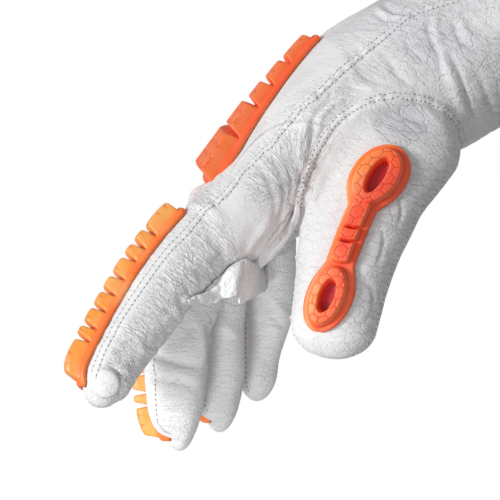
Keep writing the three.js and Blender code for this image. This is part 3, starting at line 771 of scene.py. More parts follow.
# Keeps the part of a mesh where value is negative; every column of data goes along with its vertex.
def keep(data, faces, value):
    inside = value < 0
    count = inside[faces].sum(1)
    whole = faces[count == 3]
    cut = faces[(count > 0) & (count < 3)]
    one = count[(count > 0) & (count < 3)] == 1
    odd = np.argmax(inside[cut] == one[:, None], 1)
    turned = cut[np.arange(len(cut))[:, None], (odd[:, None] + np.arange(3)) % 3]
    a, b, c = turned.T
    pairs = np.sort(np.vstack([np.stack([a, b], 1), np.stack([a, c], 1)]), 1)
    keys, where = np.unique(pairs[:, 0] * len(data) + pairs[:, 1], return_inverse=True)
    low = keys // len(data)
    high = keys % len(data)
    share = (value[low] / (value[low] - value[high]))[:, None]
    made = data[low] * (1 - share) + data[high] * share
    ab = len(data) + where[: len(a)]
    ac = len(data) + where[len(a) :]
    tips = np.stack([a, ab, ac], 1)[one]
    rest = ~one
    quads = np.vstack([np.stack([ab, b, c], 1)[rest], np.stack([ab, c, ac], 1)[rest]])
    faces = np.vstack([whole, tips, quads])
    data = np.vstack([data, made])
    used, faces = np.unique(faces, return_inverse=True)
    return data[used], faces.reshape(-1, 3)


def add_object(name, data):
    made = bpy.data.objects.new(name, data)
    bpy.context.scene.collection.objects.link(made)
    return made


# A piece from points and faces, with columns of numbers for its material, that stands for nodes of the part.
def make_piece(name, points, faces, material, nodes=(), columns=None):
    mesh = bpy.data.meshes.new(name)
    mesh.from_pydata((points * MM).tolist(), [], faces)
    mesh.polygons.foreach_set("use_smooth", np.ones(len(faces), bool))
    for key, values in (columns or {}).items():
        values = np.asarray(values, np.float32)
        kind = "FLOAT_VECTOR" if values.ndim == 2 else "FLOAT"
        layer = mesh.attributes.new(key, kind, "POINT")
        layer.data.foreach_set("vector" if values.ndim == 2 else "value", values.ravel())
    mesh.update()
    piece = add_object(name, mesh)
    mesh.materials.append(material)
    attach(piece, "root")
    if nodes:
        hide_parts(*nodes)
    return piece


# Gives a sheet of leather its thickness, inwards or to both sides.
def add_wall(piece, thickness, offset):
    wall = piece.modifiers.new("wall", "SOLIDIFY")
    wall.thickness = thickness * MM
    wall.offset = offset


# A material's nodes, with short ways to add and join them. A value is a number, a tuple or a node's output.
class Shader:
    def __init__(self, name):
        self.material = bpy.data.materials.new(name)
        self.material.use_nodes = True
        self.tree = self.material.node_tree
        self.place = self.add("TexCoord").outputs["Object"]

    def put(self, value, target):
        if isinstance(value, bpy.types.NodeSocket):
            self.tree.links.new(value, target)
        else:
            target.default_value = value

    def add(self, kind, **settings):
        node = self.tree.nodes.new("ShaderNode" + kind)
        for key, value in settings.items():
            if key in node.inputs:
                self.put(value, node.inputs[key])
            else:
                setattr(node, key, value)
        return node

    def filled(self, node, keys, values):
        for key, value in zip(keys, values):
            self.put(value, node.inputs[key])
        return node

    def math(self, operation, *values):
        return self.filled(self.add("Math", operation=operation), range(2), values).outputs[0]

    def vector(self, operation, *values):
        return self.filled(self.add("VectorMath", operation=operation), range(3), values).outputs[0]

    def mix(self, share, a, b):
        return self.filled(self.add("Mix", data_type="RGBA"), (0, 6, 7), (share, a, b)).outputs[2]

    def ramp(self, value, low, high, start=0.0, end=1.0):
        node = self.add("MapRange", interpolation_type="SMOOTHSTEP", Value=value)
        keys = ("From Min", "From Max", "To Min", "To Max")
        return self.filled(node, keys, (low, high, start, end)).outputs[0]

    def attribute(self, name, output="Fac"):
        return self.add("Attribute", attribute_name=name).outputs[output]

    def noise(self, scale, detail, **settings):
        settings.setdefault("Vector", self.place)
        return self.add("TexNoise", Scale=scale, Detail=detail, **settings).outputs[0]

    def cells(self, scale, place):
        node = self.add("TexVoronoi", feature="DISTANCE_TO_EDGE", Scale=scale, Vector=place)
        return node.outputs["Distance"]

    def bump(self, height, distance, strength, **below):
        return self.add("Bump", Height=height, Distance=distance, Strength=strength, **below).outputs[0]

    def surface(self, values):
        self.filled(self.tree.nodes["Principled BSDF"], values.keys(), values.values())
        return self.material


def leather_material():
    s = Shader("white_leather")
    space = s.attribute("wrinkle_space", "Vector")
    wear_and_shade = s.attribute("wear_and_shade")
    # Pebbled grain, about 1.1 mm across, drawn out a little along the creases
    warp = s.add("TexNoise", Vector=space, Scale=0.8, Detail=2.0).outputs["Color"]
    shifted = s.vector("MULTIPLY_ADD", warp, (1.6, 1.6, 1.6), s.vector("MULTIPLY", space, (1.0, 0.62, 1.0)))
    pebble = s.ramp(s.cells(1.1, shifted), 0.0, 0.22)
    # Creases drawn out along the wrinkles, broad and fine
    streak = s.vector("MULTIPLY", shifted, (1.0, 0.42, 1.0))
    lines = []
    for scale, narrow, amount in ((0.4, 0.085, 0.6), (0.75, 0.1, 0.4)):
        waves = s.noise(scale, 1.0, Vector=streak, Roughness=0.4, Distortion=0.6)
        line = s.ramp(s.math("ABSOLUTE", s.math("SUBTRACT", waves, 0.5)), 0.0, narrow)
        lines.append(s.math("MULTIPLY", line, amount))
    weight = s.math("ADD", s.math("MULTIPLY", s.attribute("creased"), 0.93), 0.07)
    depth = s.math("MULTIPLY", s.math("SUBTRACT", s.math("ADD", *lines), 1.0), weight)
    # Cracks in the rubbed leather, in cells about 4 mm across
    crack = s.math("MULTIPLY", s.ramp(s.cells(0.25, shifted), 0.0, 0.075, 1.0, 0.0), wear_and_shade)
    depth = s.math("SUBTRACT", depth, s.math("MULTIPLY", crack, 0.55))
    normal = s.bump(s.noise(420.0, 2.0, Roughness=0.5), 0.0005, 0.25)
    normal = s.bump(pebble, 0.0002, 0.4, Normal=normal)
    normal = s.bump(depth, 0.0008, 0.8, Normal=normal)
    # Off-white in soft patches; greyer where it is worn and as painted shade on the thumb's outer side and
    # under its seam; painted shade, cooler and darker, down in the creases, in low hollows and between the
    # pebbles
    tone = s.ramp(s.noise(28.0, 3.0), 0.35, 0.65)
    tone = s.mix(tone, (0.82, 0.822, 0.835, 1), (0.885, 0.885, 0.892, 1))
    # Painted shade in the low hollows of the relief
    hollow_shade = s.ramp(s.attribute("relief"), -0.9, 0.1, 1.0, 0.0)
    # Painted shade, darker and cooler, down in the creases
    crease_shade = s.math("MULTIPLY", depth, -1.0)
    # Painted shade between the pebbles of the grain
    gap = s.math("SUBTRACT", 1.0, pebble)
    for share, amount, colour in (
        # Grey where the leather is worn, towards the cuff, and as painted shade on the thumb's outer side and
        # under its seam
        (wear_and_shade, 0.85, (0.57, 0.57, 0.59, 1)),
        (hollow_shade, 0.3, (0.60, 0.61, 0.64, 1)),
        (crease_shade, 0.16, (0.52, 0.53, 0.56, 1)),
        (gap, 0.05, (0.55, 0.56, 0.59, 1)),
    ):
        tone = s.mix(s.math("MULTIPLY", share, amount), tone, colour)
    return s.surface({
        "Base Color": tone,
        "Normal": normal,
        "Roughness": s.ramp(pebble, 0.0, 1.0, 0.72, 0.5),
        "Specular IOR Level": 0.42,
        "Sheen Weight": 0.12,
        "Sheen Roughness": 0.45,
    })


def rubber_material():
    s = Shader("orange_rubber")
    redness_and_hole_shade = s.attribute("redness_and_hole_shade")
    wave = s.noise(90.0, 2.0)
    colour = s.mix(s.ramp(wave, 0.3, 0.7), (1.0, 0.36, 0.055, 1), (1.0, 0.45, 0.115, 1))
    # Redder and darker low on each guard: painted shade on its base and down between its blocks
    colour = s.mix(s.ramp(s.attribute("height"), 1.0, 5.0), (0.97, 0.19, 0.035, 1), colour)
    for share, over in (
        # Paler orange patches: painted highlights
        (s.ramp(s.noise(55.0, 2.0), 0.45, 0.75, 0.0, 0.7), (1.0, 0.44, 0.17, 1)),
        (s.math("MULTIPLY", redness_and_hole_shade, 1.2), (0.96, 0.075, 0.035, 1)),
        # Darker red along the engraved lines and in the thumb rings' holes: painted shade in the grooves
        (s.math("MULTIPLY", s.attribute("line"), 0.72), (0.62, 0.02, 0.012, 1)),
        # Darkest red in the thumb rings' holes: painted shade down in them
        (s.ramp(redness_and_hole_shade, 0.8, 1.0), (0.45, 0.008, 0.02, 1)),
    ):
        colour = s.mix(share, colour, over)
    return s.surface({
        "Base Color": colour,
        "Normal": s.bump(s.noise(900.0, 3.0), 0.0002, 0.25, Normal=s.bump(wave, 0.0006, 0.2)),
        "Roughness": s.ramp(wave, 0.2, 0.8, 0.36, 0.5),
        "Subsurface Weight": 0.18,
        "Subsurface Radius": (1.0, 0.35, 0.1),
        "Subsurface Scale": 0.002,
        "Specular IOR Level": 0.45,
    })


def plain_material(name, colour, roughness, grain):
    s = Shader(name)
    speck = s.noise(grain, 3.0)
    darker = tuple(0.86 * c for c in colour)
    return s.surface({
        "Base Color": s.mix(speck, (*darker, 1), (*colour, 1)),
        "Normal": s.bump(speck, 0.0001, 0.3),
        "Roughness": roughness,
    })


leather = leather_material()
rubber = rubber_material()
thread = plain_material("white_thread", (0.82, 0.82, 0.83), 0.6, 2500.0)
needle_hole_shade = plain_material("needle_hole_shadow", (0.24, 0.24, 0.25), 0.9, 900.0)
floor_material = plain_material("pale_floor", (0.9, 0.9, 0.9), 0.7, 12.0)


def angle_gap(a, b):
    return (a - b + math.pi) % (2 * math.pi) - math.pi


# How far each point of the hand is from the seams between its back and its palm; negative on the back.
def back_side(part):
    hand = limbs["hand"]
    t, x, y, wide, thick = hand.local(back_seam["line"])
    power = hand.power / 2
    turn = np.arctan2(np.sign(y) * np.abs(y / thick) ** power, np.sign(x) * np.abs(x / wide) ** power)
    turn = np.where(turn < 0, turn + 2 * math.pi, turn)
    order = np.argsort(t)
    near = np.interp(part["t"], t[order], turn[order])
    far = math.asin(FAR_LEVEL**power)
    radius = (hand.half_wide.mean() + hand.half_thick.mean()) / 2
    from_near = angle_gap(part["angle"], near) * radius
    from_far = angle_gap(far, part["angle"]) * radius
    return np.where(np.abs(from_near) < np.abs(from_far), from_near, from_far)


# The columns of the leather's data: three of place, two of wrinkle space, then these
RELIEF, CREASED, EDGE, WEAR_AND_SHADE, SIDE = range(5, 10)


# A limb's leather as columns of data for each point, and its faces.
def leather_data(name):
    part = base[name]
    height, space, share = relief(part)
    share = share * smoothstep(0, 5, -part["edge"])
    if name != "hand":
        height = height - 0.5 * smoothstep(0, LAP, part["edge"])
    points = part["points"] + part["normals"] * height[:, None] + plump(part)
    amount = {"index": 0.85, "thumb": 0.22}.get(name, 0.3)
    if name == "hand":
        amount = 0.35 + 0.45 * smoothstep(85, 140, part["t"])
    columns = np.stack([height, share * amount, part["edge"], wear_and_shade_share(part)], 1)
    return np.hstack([points, space, columns]), part["faces"]


def leather_piece(name, data, faces, nodes):
    piece = make_piece(name, data[:, :3], faces.tolist(), leather, nodes, {
        "wrinkle_space": np.hstack([data[:, 3:5], 0 * data[:, :1]]),
        "relief": data[:, RELIEF],
        "creased": data[:, CREASED],
        "wear_and_shade": data[:, WEAR_AND_SHADE],
    })
    mesh = piece.data
    loops = np.sort(np.vstack([faces[:, [0, 1]], faces[:, [1, 2]], faces[:, [2, 0]]]), 1)
    keys, uses = np.unique(loops[:, 0] * len(data) + loops[:, 1], return_counts=True)
    ends = np.empty(2 * len(mesh.edges), np.int64)
    mesh.edges.foreach_get("vertices", ends)
    ends = np.sort(ends.reshape(-1, 2), 1)
    open_edge = np.isin(ends[:, 0] * len(data) + ends[:, 1], keys[uses == 1])
    mesh.edges.foreach_set("use_edge_sharp", open_edge)
    add_wall(piece, WALL, -1)


data, faces = leather_data("hand")
data = np.hstack([data, back_side(base["hand"])[:, None]])
data, faces = keep(data, faces, data[:, EDGE])
skins = [keep(data, faces, data[:, SIDE]), keep(data, faces, -data[:, SIDE])]
leather_piece("hand_back_leather", *skins[0], ["back_panel"])
leather_piece("palm_leather", *skins[1], ["palm_panel"])
for name in (*FINGERS, "thumb"):
    data, faces = leather_data(name)
    skins.append(keep(data, faces, data[:, EDGE] - LAP))
    nodes = ["thumb_outer", "thumb_inner"] if name == "thumb" else [name + "_finger_front", "back_panel"]
    leather_piece(name + "_leather", *skins[-1], nodes)

skin_tree = tree_of([(data[:, :3], faces) for data, faces in skins])


# Each stitch's start on the skin, the directions along it, across it and off the skin, and its length.
def find_stitches():
    found = []
    for seam in seams:
        line = seam["line"] + seam.get("shift", 0)
        run = distance_along(line)
        pitch = seam["pitch"]
        for row in range(seam["rows"]):
            offset = (row - (seam["rows"] - 1) / 2) * seam["apart"]
            late = ROW_SHIFT * row
            for k in range(int(run[-1] / pitch - late)):
                s = (k + late) * pitch
                p, q = (Vector([np.interp(at, run, line[:, j]) for j in range(3)]) for at in (s, s + 0.8))
                along = (q - p).normalized()
                point, normal, _, _ = skin_tree.find_nearest(p, 6)
                if point is None:
                    continue
                across = normal.cross(along).normalized()
                point, normal, _, _ = skin_tree.find_nearest(point + across * offset, 4)
                if point is None:
                    continue
                across = normal.cross(along).normalized()
                found.append((point, across.cross(normal).normalized(), across, normal, (pitch, 0, 0)))
    point, *axes, pitch = np.array(found).swapaxes(0, 1)
    return point, axes, pitch[:, 0]


# A small closed shape at every stitch, from rings of points that are placed by their shifts along the axes.
def stitch_piece(name, material, shifts):
    point, axes, _ = stitches
    moves = [axis[:, None, None] * shift[..., None] for axis, shift in zip(axes, shifts)]
    points = point[:, None, None] + sum(moves)
    count, rings, sides, _ = points.shape
    starts = np.arange(count)[:, None, None] * rings * sides
    ring = np.arange(sides)
    ends = np.stack([ring[::-1], ring + (rings - 1) * sides])
    faces = []
    for part in (grid_faces(rings, sides, True), ends):
        faces += (starts + part).reshape(-1, part.shape[1]).tolist()
    make_piece(name, points.reshape(-1, 3), faces, material)


# The cosines and sines of points round a circle.
def circle(sides):
    turn = np.linspace(0, 2 * math.pi, sides, endpoint=False)
    return np.cos(turn), np.sin(turn)


# How far the second row of stitches is shifted, in stitches
ROW_SHIFT = 0.5
# The thread's half width and half height, how far it is lifted off the skin and what each half of it lacks of
# half a stitch; then its rings: which end they are at, a shift along it and a size
THREAD = {"wide": 0.24, "high": 0.2, "rise": 0.02, "gap": 0.42}
THREAD_RINGS = np.array(((-1, -0.12, 0.3), (-1, 0.1, 0.9), (1, -0.1, 0.9), (1, 0.12, 0.3)))
# The needle hole's half length and half width, and its rings: a rise and a size
HOLE = {"long": 0.4, "wide": 0.34}
HOLE_RINGS = np.array(((-0.25, 1.0), (0.09, 0.85)))

stitches = find_stitches()
end, shift, size = THREAD_RINGS.T[:, :, None]
c, s = circle(6)
length = stitches[2][:, None, None]
places = length / 2 + (length / 2 - THREAD["gap"]) * end + shift
rises = s * THREAD["high"] * size + THREAD["rise"]
stitch_piece("stitch_threads", thread, (places, c * THREAD["wide"] * size, rises))
# Dark shapes at the needle holes: painted shadow down in them
rise, size = HOLE_RINGS.T[:, :, None]
c, s = circle(8)
stitch_piece("needle_hole_shadows", needle_hole_shade, (c * HOLE["long"] * size, s * HOLE["wide"] * size, rise + 0 * c))


# The slack leather between thumb and fingers: a rolled ridge, and a loose edge that hangs below it.
# The ridge is a row of pixels, each with its half width in millimetres.
ROLL = (
    (298, 202, 0.8), (296, 214, 1.7), (289, 227, 2.5), (278, 240, 2.9), (266, 252, 2.9), (254, 262, 2.6),
    (246, 268, 1.5),
)
ROLL_RISE = 1.7
ROLL_SIDES = 28
# The loose edge: the pixels where it leaves the leather and where it hangs to, and how far it stands forward
# at the top, halfway down and at the bottom.
LOOSE_EDGE = (
    (188, 299.5, 189, 303, 0.2, 0.3, 0.1), (196, 297, 197, 302, 0.3, 0.5, 0.3),
    (205, 293.5, 206, 302, 0.4, 1.0, 0.8), (213, 289, 214, 303, 0.5, 0.9, 1.5),
    (219.5, 283.5, 222, 300, 0.6, 1.0, 1.8), (224, 277, 228, 298, 1.6, 2.4, 2.6),
    (229, 271.5, 232, 296, 2.6, 3.9, 3.4), (235, 267, 236, 294, 3.2, 5.0, 3.6),
    (240, 264, 238, 293, 3.0, 4.2, 2.4), (244, 262, 240, 303, 1.6, 1.4, 0.4),
    (249, 262.5, 247, 299, 2.2, 1.2, 0.6), (255, 266, 256, 295, 1.2, 1.8, 1.2),
    (262, 268, 265, 290, 0.6, 1.4, 1.2), (269, 263, 272, 281, 0.4, 0.8, 0.8),
    (277, 254, 280, 272, 0.2, 0.3, 0.2),
)
# The edge's thickness, the points down it, and how many pixels above its top its depth is read
EDGE_WALL = 1.2
EDGE_POINTS = 30
ABOVE = 6


# The point at a depth y on a pixel's sight line.
def at_depth(px, py, y):
    way = on_plane(px, py) - EYE
    return EYE + way * (y - EYE[1]) / way[1]


# Columns for leather that has no limb to take them from.
def grain_values(points):
    run = np.stack([points[:, 0] + points[:, 1], points[:, 2] - points[:, 0], 0 * points[:, 0]], 1)
    plain = 0 * points[:, 0]
    return {"wrinkle_space": run, "relief": plain, "creased": plain + 0.45, "wear_and_shade": plain}


def rolled_ridge():
    line = seen_line([row[:2] for row in ROLL], 0.5)
    count = len(line)
    wide = np.interp(np.linspace(0, 1, count), np.linspace(0, 1, len(ROLL)), [row[2] for row in ROLL])
    ends = np.sqrt(np.clip(np.minimum(np.arange(count), count - 1 - np.arange(count)) / 6, 0.02, 1))
    wide = wide * ends
    along = unit(np.gradient(line, axis=0))
    rise = np.array([skin_tree.find_nearest(Vector(p), 9)[1] for p in line]) + np.array((0, -0.8, 0))
    smooth_out(rise, 6)
    across = unit(np.cross(rise, along))
    rise = np.cross(along, across)
    turn = np.tile(np.linspace(0, 2 * math.pi, ROLL_SIDES, endpoint=False), count)
    row = np.repeat(np.arange(count), ROLL_SIDES)
    size = (wide[row] * (1 + 0.1 * np.sin(3 * turn + row * 0.07)))[:, None]
    tall = ROLL_RISE * (wide[row] / wide.max())[:, None]
    points = line[row] + across[row] * np.cos(turn)[:, None] * size
    points = points + rise[row] * (np.sin(turn)[:, None] * size * 0.9 + tall * 0.55)
    points = points + unit(points - line[row]) * (0.28 * noise(points, (3, 3, 3), 21))[:, None]
    faces = grid_faces(count, ROLL_SIDES, True).tolist()
    make_piece("web_ridge_leather", points, faces, leather, ["palm_panel"],
               grain_values(points))


def loose_edge():
    rows = np.array(LOOSE_EDGE, float)
    last = len(rows) - 1
    index = np.arange(len(rows), dtype=float)[:, None]
    curve = smooth_rows(np.hstack([index, rows]), np.linspace(0, last, 12 * last + 1))
    depth = np.array([seen(px - 1, py - ABOVE)[1] for px, py in curve[:, :2]])
    under = np.array([(seen(px, py) or seen(px - 1, py - ABOVE))[1] for px, py in curve[:, :2]])
    under = np.minimum(under, depth + 5)
    smooth_out(depth, 20)
    points = []
    for y, back, (px, py, qx, qy, top, half, low) in zip(depth, under, curve):
        marks = np.array([
            (0.0, *at_depth(px, py, back + 0.8)),
            (0.22, *at_depth(px, py, y - top)),
            (0.6, *at_depth((px + qx) / 2, (py + qy) / 2, y + 0.4 - half)),
            (1.0, *at_depth(qx, qy, y + 1.0 - low)),
        ])
        points.append(smooth_rows(marks, np.linspace(0, 1, EDGE_POINTS)))
    points = np.vstack(points)
    broad = np.abs(noise(points, (5.5, 6, 5), 22)) - 0.05
    narrow = np.abs(noise(points, (2.3, 3, 2.6), 23)) - 0.1
    points[:, 1] -= 1.1 * broad + 0.4 * narrow
    points[:, 2] += 0.7 * noise(points, (3, 4, 4), 24)
    faces = grid_faces(len(curve), EDGE_POINTS).tolist()
    piece = make_piece("loose_seam_edge_1", points, faces, leather, ["palm_panel"],
                       grain_values(points))
    add_wall(piece, EDGE_WALL, 0)
    soft = piece.modifiers.new("soft", "BEVEL")
    soft.width = 0.45 * MM
    soft.segments = 2
    soft.limit_method = "ANGLE"
    soft.angle_limit = math.radians(50)


rolled_ridge()
loose_edge()


# The guards. Each finger's blocks are given by their lengths, from the knuckle to the tip, and a guard starts
# at a distance along its limb.
FINGER_BLOCKS = {
    "index": (12.5, 6, 5.5, 7.8, 7.1, 7.5, 7.5, 5.2, 14),
    "middle": (12.5, 6, 5.5, 7.8, 7.1, 7.5, 7.5, 5.2, 13),
    "ring": (11, 5.6, 5.2, 7.2, 6.8, 7, 6.8, 5, 11),
    "little": (10, 5.6, 5.4, 7, 7, 6.6, 11),
}
FINGER_START = {"index": 22.5, "middle": 25, "ring": 24, "little": 22}
FLANGE_WIDE = 13.2
BLOCK_WIDE = 11
# A guard's base lies this far off the leather's plain surface and is this thick; its blocks rise from it.
CLEAR = 0.6
FLANGE = 1.9
BLOCK = 4.7
# What a block's rounded top takes off its height
ROUNDED_OFF = 0.9
# The step between a guard's rows of points, and the points in each row
FINGER_GRID = {"step": 0.3, "across": 43}
HAND_GRID = {"step": 0.42, "across": 177}
THUMB_GRID = {"step": 0.3, "across": 81}

# Each row of the hand's blocks is a length and a height. Each column starts and ends at a distance across,
# and first is the row that it starts with.
HAND_BLOCKS = ((14, 2.4), (11.5, 2.8), (11, 3.3), (14.5, 4.2), (21, 5.0))
HAND_START = 100
HAND_COLUMNS = (
    {"from": -14, "to": -31, "first": 0},
    {"from": -4.7, "to": -10.4, "first": 0},
    {"from": 4.7, "to": 10.4, "first": 0},
    {"from": 14, "to": 31, "first": 1},
)
HAND_BLOCK_WIDE = (8.6, 17.5)

THUMB_RINGS = (
    {"at": 44, "long": 25.5, "wide": 17.5, "flange": 21.5, "hole": 14.4},
    {"at": 93.5, "long": 25, "wide": 14.5, "flange": 19, "hole": 12.5},
)
THUMB_HOLE_WIDE = 5.8
THUMB_BRIDGE = {"from": 54, "wide": 7.6, "flange": 11.5}
THUMB_BLOCKS = (11, 5.6, 8.8)
THUMB_LINE = (-6.5, 1.2)


# The distance from each point to the nearest edge of a honeycomb whose cells are size across.
def honeycomb(u, v, size):
    best = np.full(len(u), 1e9)
    second = np.full(len(u), 1e9)
    high = size * math.sqrt(3)
    for shift_u, shift_v in ((0, 0), (size / 2, high / 2)):
        du = (u - shift_u + size / 2) % size - size / 2
        dv = (v - shift_v + high / 2) % high - high / 2
        for step_u in (-size, 0, size):
            for step_v in (-high, 0, high):
                d = np.hypot(du - step_u, dv - step_v)
                second = np.where(d < best, best, np.minimum(second, d))
                best = np.minimum(best, d)
    return (second - best) / 2


# A block's height at a distance from its ends and sides, with rounded upper edges.
def block_profile(from_end, from_side, height, lean, soft=0.7):
    end = smoothstep(0, 1, np.clip(from_end / lean, 0, 1)) ** 0.8
    side = smoothstep(0, 1, np.clip(from_side / soft, 0, 1)) ** 0.8
    return height * np.minimum(end, side) * np.sqrt(np.maximum(end, side))


def edge_round(inside, soft=0.9):
    return np.sqrt(1 - (1 - np.clip(inside / soft, 0, 1)) ** 2)


# The height of a guard's base, rounded at its edges; over is how much of the rounding its ends lack.
def base_height(t, ts, inside, over):
    end = np.minimum(ts - t[0], t[-1] - ts) + over
    return FLANGE * np.minimum(edge_round(inside + 0.15), edge_round(end))


# Which block each point is in, and how far it is from that block's ends.
def in_block(ends, ts, gap):
    which = np.clip(np.searchsorted(ends, ts, side="right") - 1, 0, len(ends) - 2)
    return which, np.minimum(ts - ends[which], ends[which + 1] - ts) - gap


# The lines of the honeycomb engraved in the blocks' tops, from how near each point is to the full height.
def engraved(u, v, size, wide, nearness, low):
    return np.exp(-((honeycomb(u, v, size) / wide) ** 2)) * smoothstep(low, 0.98, nearness)


# A moulding on a limb's back, from its height over a grid of distances along and across.
def moulding(guard, limb, t, low, high, across, height_of):
    turn = np.cos(np.linspace(0, 1, across) * math.pi)
    share = 0.5 - 0.5 * turn * (0.35 + 0.65 * np.abs(turn) ** 0.5)
    share = (share - share[0]) / (share[-1] - share[0])
    low, high = low[:, None], high[:, None]
    x = low + (high - low) * share
    ts = np.repeat(t, across)
    xs = x.ravel()
    height, line, redness_and_hole_shade = height_of(ts, xs, np.minimum(x - low, high - x).ravel())
    on_limb = np.minimum(ts, limb.length - 1)
    _, _, _, _, wide, thick, _ = limb.section(on_limb)
    shrink = np.sqrt(np.maximum(0.05, 1 - np.maximum(0, (ts - limb.body) / limb.cap) ** 2))
    share = np.clip(np.abs(xs) / (wide * shrink), 0, 0.98)
    surface = thick * shrink * (1 - share**limb.power) ** (1 / limb.power) + CLEAR
    points = np.vstack([limb.place(on_limb, xs, surface + height), limb.place(on_limb, xs, surface - 0.25)])
    upper = grid_faces(len(t), across)
    lower = upper[:, [0, 3, 2, 1]] + len(xs)
    grid = np.arange(len(xs)).reshape(len(t), across)
    rim = np.concatenate([grid[0, :-1], grid[:-1, -1], grid[-1, :0:-1], grid[:0:-1, 0]])
    after = np.roll(rim, -1)
    skirt = np.stack([rim, rim + len(xs), after + len(xs), after], 1)
    columns = {
        key: np.concatenate([values, 0 * values])
        for key, values in (("height", height), ("line", line), ("redness_and_hole_shade", redness_and_hole_shade))
    }
    faces = np.vstack([upper, lower, skirt]).tolist()
    make_piece(guard + "_moulding", points, faces, rubber, [guard], columns)


def finger_guard(name):
    start = FINGER_START[name]
    ends = start + np.cumsum((0, *FINGER_BLOCKS[name]))
    t = np.arange(start - 1.5, ends[-1] + 1.4, FINGER_GRID["step"])
    limb_wide = smooth_rows(np.array(LIMBS[name]["rows"], float), t)[:, 1]
    wide = np.minimum(FLANGE_WIDE / 2, limb_wide / 2 * 0.8)
    closing = np.minimum(1, np.minimum(t - t[0] + 0.4, t[-1] - t + 0.4) / 3.0)
    wide = wide * (0.6 + 0.4 * np.sqrt(np.clip(1 - (1 - closing) ** 2, 0, 1)))
    full = BLOCK + ROUNDED_OFF

    def height_of(ts, xs, inside):
        which, from_end = in_block(ends, ts, 0.15)
        middle = (ends[which] + ends[which + 1]) / 2
        crown = 1 - 0.16 * (np.abs(ts - middle) / ((ends[which + 1] - ends[which]) / 2)) ** 3
        blocks = block_profile(from_end, BLOCK_WIDE / 2 - np.abs(xs), full * crown, 1.35)
        line = engraved(xs + 2.5, ts, 5.2, 0.22, blocks / full, 0.7)
        return base_height(t, ts, inside, 0.25) + blocks - 0.25 * line, line, 0 * line

    moulding(name + "_guard", limbs[name], t, -wide, wide, FINGER_GRID["across"], height_of)


def hand_guard():
    ends = HAND_START + np.cumsum([0] + [row[0] for row in HAND_BLOCKS])
    heights = np.array([row[1] for row in HAND_BLOCKS]) + ROUNDED_OFF
    t = np.arange(HAND_START - 2, ends[-1] + 2, HAND_GRID["step"])

    def between(start, end, ts):
        return start + (end - start) * (ts - HAND_START) / (ends[-1] - HAND_START)

    outer = HAND_COLUMNS[-1]
    edge = between(outer["from"], outer["to"], t) + between(*HAND_BLOCK_WIDE, t) / 2 + 1.8

    def height_of(ts, xs, inside):
        which, from_end = in_block(ends, ts, 0.25)
        blocks = 0 * ts
        for row in HAND_COLUMNS:
            from_side = between(*HAND_BLOCK_WIDE, ts) / 2 - np.abs(xs - between(row["from"], row["to"], ts))
            tall = heights[which] * (which >= row["first"])
            blocks = np.maximum(blocks, block_profile(from_end, from_side, tall, 1.6, 0.9))
        line = engraved(xs, ts, 6.2, 0.26, blocks / heights[which], 0.8)
        return base_height(t, ts, inside, 0.3) + blocks - 0.28 * line, line, 0 * line + 0.5

    moulding("hand_guard", limbs["hand"], t, -edge, edge, HAND_GRID["across"], height_of)


# The thumb guard's middle line, across the thumb at distances along it.
def thumb_middle(ts):
    upper, lower = THUMB_RINGS
    return THUMB_LINE[0] + (THUMB_LINE[1] - THUMB_LINE[0]) * (ts - upper["at"]) / (lower["at"] - upper["at"])


# The thumb guard's rings and the blocks of its bridge, and how much each point is in a ring's hole.
def thumb_blocks(ts, x, tall):
    raised = 0 * ts
    hole = 0 * ts
    for ring in THUMB_RINGS:
        u = (ts - ring["at"]) / (ring["long"] / 2)
        from_rim = (1 - np.hypot(u, x / (ring["wide"] / 2))) * ring["wide"] / 2 * (1 + 0.2 * np.abs(u))
        away = np.hypot((ts - ring["at"]) / (ring["hole"] / 2), x / (THUMB_HOLE_WIDE / 2))
        well = smoothstep(-0.55, 0.45, (away - 1) * THUMB_HOLE_WIDE / 2)
        raised = np.maximum(raised, tall * smoothstep(0, 1.3, from_rim) ** 0.8 * well)
        hole = np.maximum(hole, 1 - well)
    at = THUMB_BRIDGE["from"] + 1.2
    arch = 0.9 * (x / THUMB_BRIDGE["wide"] * 2) ** 2
    for length in THUMB_BLOCKS:
        from_end = np.minimum(ts - at + arch, at + length - 0.25 - arch - ts)
        from_side = THUMB_BRIDGE["wide"] / 2 - np.abs(x)
        raised = np.maximum(raised, block_profile(from_end, from_side, tall - 0.2, 0.75, 0.9))
        at += length
    return raised, hole


